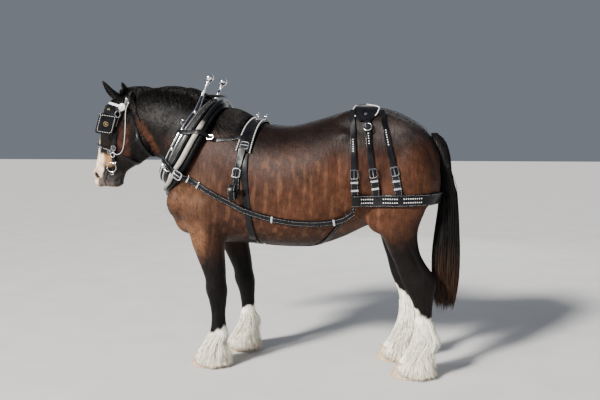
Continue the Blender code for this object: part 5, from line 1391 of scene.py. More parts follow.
# White thread, white spots, buckles and keepers
edgeLines("pad", 0.009, into=spotLines)
edgeLines("breast", 0.005)
for side, name in bothSides:
    edgeLines("trace_" + name, 0.007)
    edgeLines("quarter_" + name, 0.005, 0.0, 0.6)
    edgeLines("tugStrap_" + name, 0.006)
    for part, spots, buckle, keepers in (
        ("front", (1.565, 1.47), 1.337, (1.28, 1.232)), ("middle", (1.606, 1.52), 1.348, (1.293, 1.242)),
        ("rear", (1.617, 1.52), 1.353, (1.298, 1.249)),
    ):
        strap, billet = "hip_" + part + "_" + name, "billet_" + part + "_" + name
        run = frames[strap]
        spotsAlong(spotLines, [f for f in run if spots[1] <= f[0].z <= spots[0]])
        fitted(buckleSpots, strap, atZ(buckle), 0.006, (1.1, 1.05, 1.2))
        # the doubled end of the strap, from the buckle down to the breeching
        run = [tuple(f[0] - f[2] * 0.004) for f in run if 1.175 < f[0].z < buckle - 0.018]
        layStrap(billet, run[::3] + run[-1:], 0.05, 0.005, ("skin", strap), trunkAxis)
        edgeLines(billet, 0.006)
        for height in keepers:
            fitted(keeperSpots, billet, atZ(height), -0.001, (0.8, 1.1, 0.9))
    for low, high in ((0.455, 0.535), (0.59, 0.69), (0.725, 0.835)):
        run = [f for f in frames["breeching"] if low <= f[0].x <= high and f[0].y * side > 0]
        for shift in (-0.012, 0.012):
            spotsAlong(spotLines, run, shift)
    fitted(buckleSpots, "tugStrap_" + name, atZ(1.337), 0.002, (1.15, 1.2, 1))
    fitted(buckleSpots, "quarter_" + name, atZ(1.06), 0.002, (0.9, 0.9, 1))
edgeLines("breeching", 0.006)


# Smaller harness pieces
def lathe(bm, middle, axis, rows, sides=24, flutes=0, depth=0.0):
    # a turned shape: rows of height along the axis and radius, with soft flutes if wanted
    axis = Vector(axis).normalized()
    across = axis.cross(Vector((0, 0, 1))).normalized()
    over = axis.cross(across)
    rings = []
    for height, radius in rows:
        ring = []
        for k in range(sides):
            a = math.tau * k / sides
            r = max(radius * (1 + depth * math.cos(flutes * a)), 0.0004)
            ring.append(Vector(middle) + axis * height + (across * math.cos(a) + over * math.sin(a)) * r)
        rings.append(ring)
    bridge(bm, rings)


def ringMesh(bm, middle, u, v, wire, face, sides=10, count=40, flat=1.0):
    bridge(bm, tubeRings(circle(middle, u, v, count), wire, Vector(face), sides, True, flat), True)


fineSpotLines = []
blinderSettings = {"corners": ((-1.436, -0.176, 1.605), (-1.318, -0.14, 1.588), (-1.276, -0.138, 1.728),
                               (-1.392, -0.174, 1.748)), "thick": 0.006, "round": 9.0, "cup": 0.008}


def blinder(side, name):
    corners = [Vector(c) for c in sided(blinderSettings["corners"], side)]
    middle = sum(corners, Vector()) / 4
    across = (corners[1] + corners[2] - corners[0] - corners[3]) / 4
    along = (corners[2] + corners[3] - corners[0] - corners[1]) / 4
    normal = across.cross(along).normalized()
    normal = -normal if normal.y * side < 0 else normal

    def at(u, v, lift):
        bulge = blinderSettings["cup"] * (1 - 0.5 * (u * u + v * v))
        return middle + across * u + along * v + normal * (bulge + lift)

    def outline(share, lift, count=56):
        ring = []
        for k in range(count):
            a = math.tau * (k + 0.5) / count
            power = 2 / blinderSettings["round"]
            ring.append(at(signedPower(math.cos(a), power) * share, signedPower(math.sin(a), power) * share, lift))
        return ring

    thick = blinderSettings["thick"]
    bm = bmesh.new()
    bridge(bm, [outline(share, lift) for share, lift in (
        (0.05, -thick / 2), (0.5, -thick / 2), (0.95, -thick / 2), (1.0, -thick / 4), (1.0, thick / 4),
        (0.96, thick / 2), (0.9, thick / 2 + 0.001), (0.5, thick / 2 + 0.001), (0.05, thick / 2 + 0.001))])
    addPiece("blinder_" + name + "_leather", meshFrom(bm), blackPatent, "black_leather", "blinder_" + name)
    border = outline(0.8, thick / 2 + 0.0006)
    fineSpotLines.append([(p, normal) for p in border + border[:1]])
    bm = bmesh.new()
    face = thick / 2 + 0.0012
    ringMesh(bm, at(0, 0, face), across.normalized() * 0.015, normal.cross(across).normalized() * 0.015, 0.0028,
             normal, 8, 28)
    lathe(bm, at(0, 0, face), normal, ((0, 0.0055), (0.003, 0.005), (0.0042, 0.001)))
    addPiece("blinder_" + name + "_boss", meshFrom(bm), brassMetal, "chrome")
    # the small leather above it with a brass ornament
    top = [Vector(c) for c in sided(((-1.366, -0.176, 1.742), (-1.292, -0.146, 1.738), (-1.284, -0.146, 1.794),
                                     (-1.352, -0.174, 1.8)), side)]
    core = sum(top, Vector()) / 4
    bm = bmesh.new()
    bridge(bm, [[core + (p - core) * size + normal * lift for p in top]
                for size, lift in ((0.9, -0.003), (1.0, -0.0015), (1.0, 0.0015), (0.93, 0.003))])
    upright = [e for e in bm.edges if abs((e.verts[0].co - e.verts[1].co).normalized().dot(normal)) > 0.6]
    bmesh.ops.bevel(bm, geom=upright, offset=0.006, segments=3, affect="EDGES")
    addPiece("blinder_" + name + "_top", meshFrom(bm), blackPatent, "black_leather")
    bm = bmesh.new()
    lathe(bm, core + Vector((-0.012, 0, 0.002)) + normal * 0.003, normal,
          ((0, 0.012), (0.002, 0.0125), (0.004, 0.0105), (0.0042, 0.006), (0.0062, 0.005), (0.0068, 0.001)),
          20, 5, 0.1)
    addPiece("blinder_" + name + "_ornament", meshFrom(bm), brassMetal, "chrome")
    stay = smoothLine([at(0.55, 0.9, 0), at(0.8, 1.25, -0.004), at(1.1, 1.5, -0.012),
                       Vector((-1.285, side * 0.112, 1.79))], 0.01)
    bm = bmesh.new()
    bridge(bm, tubeRings(stay, 0.006, normal, 8, flat=0.5))
    addPiece("blinder_" + name + "_stay", meshFrom(bm), blackPatent, "black_leather")


rosettePlace, bitPlace = Vector((-1.247, 0.13, 1.785)), Vector((-1.352, 0.098, 1.362))
cordLine = [(-1.212, -0.128, 1.822), (-1.21, -0.15, 1.76), (-1.212, -0.158, 1.66), (-1.226, -0.152, 1.54),
            (-1.25, -0.142, 1.475), (-1.29, -0.13, 1.452), (-1.322, -0.114, 1.462), (-1.333, -0.106, 1.474)]


def bridleSide(side, name):
    mirror = Vector((1, side, 1))
    looks = Vector((-0.12, side, 0.05)).normalized()
    bm = bmesh.new()
    middle = rosettePlace * mirror
    lathe(bm, middle, looks, ((-0.001, 0.01), (-0.001, 0.026), (0.002, 0.027), (0.004, 0.025), (0.007, 0.02),
                              (0.009, 0.013)), 48, 16, 0.035)
    lathe(bm, middle + looks * 0.007, looks, ((0, 0.012), (0.005, 0.011), (0.008, 0.007), (0.009, 0.001)), 24)
    addPiece("rosette_" + name + "_fluted", meshFrom(bm), whitePatent, "white_trim", "rosette_" + name)
    bm = bmesh.new()
    ringMesh(bm, bitPlace * mirror, (0.034, 0, 0), (0, 0, 0.034), 0.0032, (0, 1, 0), 12)
    bar = [bitPlace * mirror + Vector((-0.034, -side * 0.002, -0.004)), Vector((-1.39, side * 0.066, 1.352)),
           Vector((-1.396, side * 0.045, 1.349)), Vector((-1.396, 0, 1.349))]
    bridge(bm, tubeRings(smoothLine(bar, 0.008), 0.006, Vector((0, 0, 1)), 10))
    ringMesh(bm, bitPlace * mirror + Vector((0.004, 0, -0.042)), (0.012, 0, 0.004), (0, 0.003, 0.012), 0.0026,
             (0.4, 1, 0), 8, 20)
    addPiece("bit_" + name, meshFrom(bm), chromeMetal, "chrome", "bit_ring_" + name)
    bm = bmesh.new()
    hung = sided(cordLine, side)
    line = smoothLine([treeOf["crown"].find_nearest(hung[0])[0] + looks * 0.002] + hung[1:], 0.008)
    lathe(bm, line[0], looks, ((-0.001, 0.0045), (0.002, 0.0045), (0.004, 0.001)), 12)
    bridge(bm, tubeRings(line, 0.0019, Vector((0, 1, 0)), 8))
    addPiece("cheek_cord_" + name + "_round", meshFrom(bm), whitePatent, "white_trim", "cheek_cord_" + name)
    bm = bmesh.new()
    for (x, y, z), u, v, wire, count in (
        ((-1.269, 0.156, 1.735), (0.019, 0, 0.003), (-0.003, 0, 0.022), 0.004, 30),
        ((-1.246, 0.152, 1.76), (0.008, 0, 0), (0, 0, 0.008), 0.0018, 18),
        ((-1.322, 0.112, 1.392), (0.008, 0, 0.004), (0, 0.003, 0.008), 0.0018, 18),
    ):
        ringMesh(bm, Vector((x, side * y, z)), u, v, wire, (0, 1, 0), 8, count)
    addPiece("drop_rings_" + name, meshFrom(bm), chromeMetal, "chrome")


def tugLoop(side, name):
    # the stiff open loop of leather below the pad, in two layers with a stitched rim
    middle = Vector((tugPlace.x, side * tugPlace.y, tugPlace.z))
    bm = bmesh.new()
    for radius, half, wire in ((0.0, 0.023, 0.0042), (0.0045, 0.0215, 0.0036)):
        ringMesh(bm, middle, (0, 0.03 + radius, 0), (0, 0, 0.044 + radius), wire, (1, 0, 0), 12, 44, half / wire)
    addPiece("tug_" + name + "_leather", meshFrom(bm), blackPatent, "black_leather", "tug_" + name)
    for x in (-0.019, 0.019):
        ring = circle(middle + Vector((x, 0, 0)), (0, 0.0385, 0), (0, 0, 0.0525), 44)
        stitchLines.append([(p, (p - middle).normalized()) for p in ring + ring[:1]])


def nearest(line, z):
    return min(line, key=lambda p: abs(p.z - z))


hameStayLine = [(-0.812, -0.19, 1.52), (-0.76, -0.22, 1.528), (-0.7, -0.26, 1.54), (-0.55, -0.285, 1.562),
                (-0.335, -0.285, 1.57)]
for side, name in bothSides:
    layStrap("hameStay_" + name, sided(hameStayLine, side), 0.026, 0.004, ("skin", "collar", "pad"), trunkAxis)
for side, name in bothSides:
    blinder(side, name)
    bridleSide(side, name)
    tugLoop(side, name)
    fitted(buckleSpots, "hameStay_" + name, atX(-0.545), 0.003, (0.92, 0.6, 0.6))
    fitted(buckleSpots, "trace_" + name, atX(-0.76), 0.002, (1.25, 1.15, 1.2))
    for x in (-0.7, -0.63, -0.12, 0.28):
        fitted(keeperSpots, "trace_" + name, atX(x), -0.002, (0.7, 1.14, 2.2))
    fitted(buckleSpots, "pad", nearTo((-0.297, side * 0.3, 1.515)), 0.003, (1.1, 1.1, 1.2), True)
    fitted(buckleSpots, "cheek_" + name, atZ(1.5), 0.002, (0.62, 0.68, 0.8))
    # what the trace hangs from on the hame
    bar = hameBars[name]
    near = nearest(bar, 1.385)
    bm = bmesh.new()
    lathe(bm, near + Vector((0, side * 0.006, 0)), (0, side, 0),
          ((0, 0.011), (0.012, 0.01), (0.016, 0.014), (0.022, 0.013), (0.025, 0.004)))
    ringMesh(bm, near + Vector((0.03, side * 0.022, -0.012)), (0.026, side * 0.006, -0.008), (0.006, 0, 0.02), 0.0048,
             (0, 1, 0), 10, 36)
    for z in (1.5, 1.62, 1.74):
        lathe(bm, nearest(bar, z) + Vector((0, side * 0.004, 0)), (-0.3, side, 0.1),
              ((0, 0.0135), (0.006, 0.0135), (0.01, 0.01), (0.012, 0.002)))
    top = nearest(bar, 1.66)
    ringMesh(bm, top + Vector((-0.012, side * 0.024, 0.012)), (0.016, 0, 0.006), (0, side * 0.012, 0.012), 0.0032,
             (0, 1, -1), 8, 28)
    addPiece("hame_fittings_" + name, meshFrom(bm), chromeMetal, "chrome")


def hameStraps():
    # the straps that draw the two hames together over and under the collar
    bm = bmesh.new()
    left, right = hameBars["left"], hameBars["right"]
    for index, arch, wide in ((2, 0.012, 0.011), (6, 0.004, 0.01), (-2, -0.01, 0.011)):
        a, b = left[index], right[index]
        middle = (a + b) / 2 + Vector((0, 0, arch)) + collarAhead * 0.01
        line = smoothLine([a + Vector((0, -0.012, 0)), a.lerp(middle, 0.5) + Vector((0, 0, arch * 0.4)), middle,
                           b.lerp(middle, 0.5) + Vector((0, 0, arch * 0.4)), b + Vector((0, 0.012, 0))], 0.012)
        bridge(bm, tubeRings(line, wide, collarAhead, 12, flat=0.28))
    addPiece("hame_straps", meshFrom(bm), blackPatent, "black_leather")


hameStraps()
layStrap("nosePlate", [(-1.425, -0.062, 1.498), (-1.455, -0.045, 1.507), (-1.487, 0, 1.515), (-1.455, 0.045, 1.507),
                       (-1.425, 0.062, 1.498)], 0.015, 0.003, ("skin", "nose"), headAxis, step=0.006,
         material=chromeMetal)
noseRings = bmesh.new()
for side, name in bothSides:
    p, ahead, out, across, half = frameAt("cheek_" + name, atZ(1.452))
    ringMesh(noseRings, p + out * 0.004, ahead * 0.017, across * 0.017, 0.0034, out, 10, 32)
    ringMesh(noseRings, p + out * 0.004 - Vector((0.028, 0, -0.02)), (0.01, 0, -0.006), (0.004, 0, 0.007),
             0.0022, out, 8, 20)
    spotsAlong(fineSpotLines, [f for f in frames["cheek_" + name] if 1.655 < f[0].z < 1.712])
    spotsAlong(fineSpotLines, [f for f in frames["nose"] if f[0].y * side > 0.045 and -1.42 < f[0].x < -1.345])
addPiece("noseband_rings", meshFrom(noseRings), chromeMetal, "chrome")
terrets = bmesh.new()
for side in (-1, 1):
    p, ahead, out, across, half = frameAt("pad", nearTo((-0.28, side * 0.1, 1.665)))
    lathe(terrets, p - out * 0.002, out, ((0, 0.012), (0.004, 0.012), (0.006, 0.007), (0.012, 0.005)))
    ringMesh(terrets, p + out * 0.03, ahead * 0.018, out * 0.018, 0.0034, across, 10, 32)
addPiece("pad_terrets", meshFrom(terrets), chromeMetal, "chrome")
plateRing = bmesh.new()
for side, name in bothSides:
    p, ahead, out, across, half = frameAt("hip_middle_" + name, atZ(1.632))
    ringMesh(plateRing, p + out * 0.004 - across * side * 0.004, ahead * 0.027, across * 0.027, 0.0042, out, 10, 40)
    p, ahead, out, across, half = frameAt("plate", lambda q: abs(q.z - 1.715) + (1 if q.y * side < 0 else 0))
    lathe(plateRing, p - out * 0.002, out, ((0, 0.0105), (0.003, 0.01), (0.005, 0.006), (0.0055, 0.001)), 20)
addPiece("plate_rings", meshFrom(plateRing), chromeMetal, "chrome")
plateCord = bmesh.new()
for way in (-1, 1):
    edge = [p + across * way * (half - 0.002) + out * 0.0005 for p, ahead, out, across, half in frames["plate"][4:-4]]
    bridge(plateCord, tubeRings(edge, 0.0036, Vector((1, 0, 0.1)), 8))
addPiece("plate_cord", meshFrom(plateCord), whitePatent, "white_trim")


# Eyes, ears and hooves
def eyeMaterial():
    m = Nodes("wetEye")
    layer, speck = m.attribute("eye", "Fac"), m.noise(900.0, 3.0)
    iris = m.ramp(speck, ((0.3, (0.012, 0.005, 0.003)), (0.7, (0.036, 0.015, 0.007))))
    inner = m.mixColour("MIX", m.ramp(layer, ((0.34, 0.0), (0.44, 1.0))), (0.002, 0.002, 0.003), iris)
    outer = m.mixColour("MIX", m.ramp(layer, ((0.66, 0.0), (0.76, 1.0))), inner, (0.02, 0.014, 0.012))
    return m.set(Base_Color=outer, Roughness=0.08, Coat_Weight=1.0, Coat_Roughness=0.02)


def eyeball(side, name, material):
    # dark brown, with a long level pupil and a raised cornea
    bm = bmesh.new()
    bmesh.ops.create_uvsphere(bm, u_segments=48, v_segments=32, radius=1)
    turn = (eyePlace["looks"] * Vector((1, side, 1))).normalized().to_track_quat("Z", "Y").to_matrix().to_4x4()
    mesh = meshFrom(bm)
    points = pointsOf(mesh)
    radius = eyePlace["radius"]
    reach = np.arccos(np.clip(points[:, 2], -1, 1))
    pupil = np.hypot(points[:, 0] / 1.9, points[:, 1] / 0.75) * 1.25
    points = points * (radius * (1 + 0.07 * np.exp(-((reach / 0.55) ** 2))))[:, None]
    iris = np.where(points[:, 2] > 0, np.maximum(np.minimum(pupil, 0.6), reach * 0.95), 1.0)
    layer = mesh.attributes.new("eye", "FLOAT", "POINT")
    layer.data.foreach_set("value", iris)
    setPoints(mesh, points)
    mesh.transform(Matrix.Translation(eyePlace["at"] * Vector((1, side, 1))) @ turn)
    addPiece("eyeball_" + name, mesh, material, "eye", "eye_" + name)


earSettings = {
    "root": Vector((-1.285, 0.068, 1.845)), "locks": 1100, "hairWidth": 0.0013, "seed": 91,
    "left": (-1, 0.178, 0.92, Vector((-0.66, -0.14, 0.69)), Vector((-0.8, -0.62, -0.3)), 0.022),
    "right": (1, 0.15, 0.82, Vector((-0.4, 0.16, 0.86)), Vector((-1.0, 0.12, -0.12)), 0.004),
    "rows": ((-0.2, 0.026, 0.024, 150, -0.9), (0.0, 0.03, 0.028, 140, -0.6), (0.14, 0.038, 0.031, 124, 0.2),
             (0.32, 0.046, 0.034, 108, 0.72), (0.5, 0.047, 0.032, 98, 0.8), (0.68, 0.041, 0.027, 92, 0.8),
             (0.84, 0.028, 0.019, 90, 0.76), (0.94, 0.014, 0.011, 88, 0.66), (1.0, 0.003, 0.004, 84, 0.4)),
}


def earBend(share, bow):
    return bow * np.sin(np.asarray(share) * math.pi) + 0.01 * np.maximum(0.0, np.asarray(share) - 0.6) ** 1.5


def ear(name, material):
    side, length, size, tip, cup, bow = earSettings[name]
    root = earSettings["root"] * Vector((1, side, 1))
    up = tip.normalized()
    face = (cup - up * cup.dot(up)).normalized()
    across = up.cross(face)
    rings = []
    table = resample(earSettings["rows"], 60)
    table[:, 1:3] *= size
    for share, wide, deep, wrap, hollow in table[::2].tolist() + table[-1:].tolist():
        middle = root + up * (share * length) + face * float(earBend(share, bow))
        outer = [math.radians(a) for a in np.linspace(-wrap, wrap, 20)]
        inner = [math.radians(a) for a in np.linspace(wrap * 0.88, -wrap * 0.88, 16)]
        ring = [middle + across * wide * math.sin(a) - face * deep * math.cos(a) for a in outer]
        ring += [middle + across * wide * 0.88 * math.sin(a) - face * deep * hollow * math.cos(a) for a in inner]
        rings.append(ring)
    bm = bmesh.new()
    bridge(bm, rings)
    mesh = meshFrom(bm)
    paint(mesh, coatColour(pointsOf(mesh)) * 0.85)
    addPiece("ear_" + name + "_shell", mesh, material, "coat_bay", "ear_" + name, sharp=70)
    # short hair along both rims and inside the cup
    rng = np.random.default_rng(earSettings["seed"] + side)
    count = earSettings["locks"]
    shares = rng.uniform(0.02, 0.97, count)
    wide, deep, wrap = (np.interp(shares, table[:, 0], table[:, k]) for k in (1, 2, 3))
    edge = rng.choice((-1, 1), count)
    turn = np.radians(wrap) * edge * rng.uniform(0.72, 1.0, count)
    bend = earBend(shares, bow)
    up, face, across, root = (np.array(v) for v in (up, face, across, root))
    start = (root + up * (shares * length)[:, None] + face * bend[:, None]
             + across * (wide * 0.94 * np.sin(turn))[:, None] - face * (deep * 0.86 * np.cos(turn))[:, None])
    inward = -across * edge[:, None] * rng.uniform(0.2, 1.0, (count, 1)) + face * rng.uniform(0.1, 0.7, (count, 1))
    way = inward + up * rng.uniform(0.6, 1.4, (count, 1))
    way /= np.linalg.norm(way, axis=1, keepdims=True)
    long = (0.009 + 0.012 * (1 - shares)) * rng.uniform(0.5, 1.1, count)
    paths = start[:, None] + way[:, None] * (long[:, None] * np.array([0, 0.4, 0.75, 1.0]))[:, :, None]
    paths[:, 2:] += up * 0.003
    tone = np.array(coatColours["seal"]) * rng.uniform(0.5, 1.8, (count, 1))
    bake = np.stack([0.5 + turn / 6.3, shares], 1)
    widths = earSettings["hairWidth"] * rng.uniform(0.6, 1.2, count)
    hairPiece("ear_hair_" + name, paths, widths, face[None, None, :], tone, bake, darkHair, 0.4,
              np.array([0.8, 1.0, 0.6, 0.0]))


def hoofMaterial():
    m = Nodes("hoofHorn")
    rings = m.add("TexWave", {"Vector": m.place}, Scale=38.0, Distortion=2.5, Detail=2.0, bands_direction="Z")
    throatHighlightOffset = m.noise(120.0, 4.0, m.stretched(1, 1, 0.1))
    colour = m.ramp(throatHighlightOffset, ((0.25, (0.3, 0.2, 0.13)), (0.55, (0.52, 0.38, 0.26)), (0.8, (0.62, 0.5, 0.38))))
    m.bump(m.mathNode("ADD", rings.outputs["Fac"], throatHighlightOffset), 0.0012, 0.5)
    return m.set(Base_Color=colour, Roughness=0.5)


def hoof(name, material):
    side, stride, rows, spread, white = legs[name]
    z, front, back, width = rows[-1]
    shift = float(legShift(0.05, stride))
    bm = bmesh.new()
    rings = []
    for share, tuck in ((0.0, 0.006), (0.04, 0.001), (0.12, 0.0), (0.4, 0.0), (0.75, 0.0), (0.92, 0.001),
                        (1.0, 0.005)):
        grow = 1 - share
        rings.append(oval((front - 0.052 * grow - 0.006 + shift + tuck, 0.0995 * share),
                          (back + 0.012 * grow - 0.004 + shift - tuck, 0.0995 * share),
                          width + 0.006 + 0.014 * grow - tuck, side * spread, 0.5, 2.15, 48))
    bridge(bm, rings)
    addPiece("hoof_" + name + "_horn", meshFrom(bm), material, "horn", "hoof_" + name)


wetEye, hoofHorn = eyeMaterial(), hoofMaterial()
for side, name in bothSides:
    eyeball(side, name, wetEye)
    ear(name, shortCoat)
for legName in legs:
    hoof(legName, hoofHorn)

# Mane, forelock and the long hair over the withers
maneHair = {"locks": 6600, "points": 9, "width": 0.0027, "flying": 420, "farShare": 0.47, "seed": 17,
            "span": (-1.315, -0.668), "clumps": 330, "wave": 0.0045,
            "topLine": ((-1.33, 1.915), (-1.272, 1.93), (-1.224, 1.937), (-1.141, 1.938), (-1.083, 1.922),
                        (-1.03, 1.926), (-0.978, 1.936), (-0.886, 1.934), (-0.828, 1.921), (-0.771, 1.912),
                        (-0.726, 1.895), (-0.66, 1.86))}


def mane():
    rng = np.random.default_rng(maneHair["seed"])
    count, length = maneHair["locks"], maneHair["points"]
    crest = resample(neckRows, 200)[::-1]
    x = rng.uniform(*maneHair["span"], count)
    poll = smoothStep(-x, 1.235, 1.275)
    top = np.interp(x, crest[:, 0], crest[:, 1]) - 0.004
    top = top * (1 - poll) + (1.888 - 0.5 * (-1.26 - x)) * poll
    y = rng.normal(0, 0.008, count) * (1 + 2.2 * poll)
    side = np.where(rng.uniform(0, 1, count) < maneHair["farShare"], 1, -1)
    fall = np.where(side > 0, rng.uniform(0.12, 0.3, count), 0.012 + 0.15 * rng.uniform(0, 1, count) ** 2.0)
    fall = np.where(poll > 0.5, fall * 0.45, fall)
    line = np.array(maneHair["topLine"])
    rise = np.interp(x, line[:, 0], line[:, 1]) - top
    rise *= 1.02 - 0.65 * rng.uniform(0, 1, count) ** 1.5
    lean = rng.normal(0.42, 0.22, count) + 0.7 * smoothStep(x, -0.78, -0.68) * rng.uniform(0, 1, count)
    lean = np.where(poll > 0.5, rng.normal(0.5, 0.3, count), lean)
    paths = np.zeros((count, length, 3))
    paths[:, 0] = np.stack([x, y, top - 0.01], 1)
    paths[:, 1] = np.stack([x + 0.008, y + side * 0.004, top + rise * 0.75], 1)
    paths[:, 2] = np.stack([x + 0.022, y + side * (0.014 + 0.2 * rise), top + rise], 1)
    for i in range(3, length):
        share = (i - 2) / (length - 3)
        down = share * fall
        px = x + 0.022 + lean * down
        pz = top + rise * (1 - share) ** 2 - down
        for k in range(count):
            hit = skinTree.ray_cast(Vector((px[k], side[k] * 0.5, pz[k])), Vector((0, -side[k], 0)), 0.5)
            beside = abs(hit[0].y) if hit[0] else 0.014
            paths[k, i] = (px[k], side[k] * (beside + 0.004 + 0.006 * (k % 4)), pz[k])
    for k in range(maneHair["flying"]):
        # hair that the wind lays back along the crest and over the collar
        start = rng.uniform(-0.98, -0.69)
        reach = rng.uniform(0.08, 0.2)
        for i in range(length):
            share = i / (length - 1)
            px = start + reach * share
            high = np.interp(px, line[:, 0], line[:, 1] + 0.01 * (line[:, 0] > -0.78)) - 0.018 * rng.uniform(0, 1)
            low = np.interp(start, crest[:, 0], crest[:, 1]) - 0.01
            paths[k, i] = (px, y[k] * (1 + share) + 0.01 * math.sin(k), low + (high - low) * min(1.0, share * 2.6))
        side[k] = rng.choice((-1, 1))
    pull = rng.uniform(0.0, 0.55, count)
    pull[:maneHair["flying"]] = 0
    paths = clumped(paths, maneHair["clumps"] + maneHair["flying"], pull, rng)
    paths = waved(paths, maneHair["wave"], (0.3, 1.0), rng, np.array([1.0, 0, 0.2]))
    faces = np.zeros((count, length, 3))
    faces[:, :, 1] = side[:, None]
    faces[:, :3, 2] = 0.6
    tone = maneColour * rng.uniform(0.5, 1.8, (count, 1))
    bake = np.stack([(x + 1.33) / 0.7, 0.5 + side * 0.2 + y * 4], 1)
    widths = maneHair["width"] * rng.uniform(0.6, 1.3, count)
    for name, own in (("mane_hair_left", side < 0), ("mane_hair_right", side > 0)):
        hairPiece(name, paths[own], widths[own], faces[own], tone[own], bake[own], darkHair, 0.3,
                  maneTaper)


withersSettings = {"locks": 3300, "points": 9, "width": 0.003, "from": (-0.66, -0.5), "length": (0.1, 0.32),
                   "last": -0.335, "clumps": 170, "wave": 0.007, "seed": 23}


def withersHair():
    # the end of the mane, brought back over the withers from under the collar
    rng = np.random.default_rng(withersSettings["seed"])
    count, length = withersSettings["locks"], withersSettings["points"]
    x = rng.uniform(*withersSettings["from"], count)
    turn = rng.normal(0, 0.17, count)
    reach = x + rng.uniform(*withersSettings["length"], count)
    end = np.minimum(reach, withersSettings["last"] + 0.05 * rng.uniform(0, 1, count) ** 3)
    spread = turn * 2.2 + rng.normal(0, 0.09, count)
    paths = np.zeros((count, length, 3))
    for i, share in enumerate(np.linspace(0, 1, length)):
        px = x + (end - x) * share
        angle = np.clip(turn + (spread - turn) * share ** 1.2, -0.95, 0.95)
        for k in range(count):
            out = Vector((0, math.sin(angle[k]), math.cos(angle[k])))
            axis = Vector((px[k], 0, 1.35))
            hit = skinTree.ray_cast(axis + out * 0.8, -out, 0.8)
            puff = (0.006 + 0.007 * (k % 4)) * min(1, share * 4) * (1 - 0.6 * share)
            paths[k, i] = hit[0] + out * (puff - 0.004 + 0.008 * math.sin(share * 3.1))
    paths = clumped(paths, withersSettings["clumps"], rng.uniform(0.0, 0.5, count), rng)
    paths = waved(paths, withersSettings["wave"], (0.4, 1.3), rng, np.array([0, 1.0, 0.25]))
    tone = maneColour * rng.uniform(0.5, 1.8, (count, 1))
    faces = np.stack([turn * 0, np.sin(turn), np.cos(turn)], 1)[:, None, :]
    bake = np.stack([(x + 0.7) / 0.5, 0.5 + turn], 1)
    hairPiece("withers_hair", paths, withersSettings["width"] * rng.uniform(0.6, 1.3, count), faces, tone, bake,
              darkHair, 0.3, maneTaper)


forelockHair = {"locks": 420, "points": 8, "width": 0.0048, "halfSpan": 0.03, "seed": 5}


def forelock():
    rng = np.random.default_rng(forelockHair["seed"])
    count, length, span = forelockHair["locks"], forelockHair["points"], forelockHair["halfSpan"]
    y = rng.uniform(-span, span, count)
    start = np.stack([rng.uniform(-1.285, -1.255, count), y * 0.8, np.full(count, 1.872)], 1)
    long = (0.07 + 0.17 * rng.uniform(0, 1, count) ** 1.5) * (1 - 0.5 * np.abs(y) / span)
    paths = np.zeros((count, length, 3))
    paths[:, 0] = start
    for i in range(1, length):
        share = i / (length - 1)
        z = 1.884 - long * share
        for k in range(count):
            py = y[k] * (0.8 + 1.1 * share)
            hit = skinTree.ray_cast(Vector((-1.8, py, z[k])), Vector((1, 0, 0)), 0.8)
            front = hit[0].x if hit[0] else -1.3
            paths[k, i] = (front - 0.006 - 0.004 * (k % 3), py, z[k])
    paths = clumped(paths, 30, rng.uniform(0.1, 0.8, count), rng)
    paths = waved(paths, 0.005, (0.5, 1.4), rng, np.array([0, 1.0, 0]))
    tone = maneColour * rng.uniform(0.55, 1.7, (count, 1))
    taper = np.array([0.6, 1, 1, 0.95, 0.85, 0.65, 0.4, 0.0])
    bake = np.stack([0.5 + y * 8, long * 3], 1)
    widths = forelockHair["width"] * rng.uniform(0.6, 1.2, count)
    faces = np.array([-1.0, 0, 0.3])
    hairPiece("forelock_hair", paths, widths, faces, tone, bake, darkHair, 0.3, taper)


mane()
withersHair()
forelock()


# Short coat: small tufts lying along the body wherever no harness covers it
coatSettings = {"body": 45000, "front": 45000, "width": 0.0024, "parting": 0.72, "clearOfStraps": 0.035,
                "wander": 0.16, "rise": (0.02, 0.11), "tint": (1.0, 1.5), "tipTint": 1.5, "flat": 0.14, "seed": 7}
laneOf = {"fore_left": 0, "fore_right": 1, "hind_left": 2, "hind_right": 3}


def coatWays(points):
    # the way that the hair lies, and its length
    x, y, z = points.T
    ways = np.stack([np.full(len(x), 0.92), y * 0.0, np.full(len(x), -0.38)], 1)
    forward = neckward(x, z)
    neck, head = smoothStep(forward, 0.7, 0.85), smoothStep(forward, 1.03, 1.12)
    ways += (np.array([0.62, 0, -0.78]) - ways) * neck[:, None]
    ways += (np.array([-0.3, 0, -0.95]) - ways) * head[:, None]
    leg = smoothStep(0.95 - z, 0, 0.2)
    ways += (np.array([0.12, 0, -0.99]) - ways) * leg[:, None]
    croup = smoothStep(x, 0.55, 0.85)
    ways += (np.array([0.45, 0, -0.89]) - ways) * (croup * (1 - leg))[:, None]
    belly = smoothStep(1.02 - z, 0, 0.12) * (1 - leg)
    long = 0.0135 + 0.009 * neck + 0.007 * belly - 0.011 * head + 0.002 * leg
    jaw = head * smoothStep(x + 0.35 * (z - 1.4), -1.27, -1.16)
    muzzle = head * smoothStep(1.4 - z, 0, 0.08)
    return ways, long + 0.014 * jaw - 0.003 * muzzle


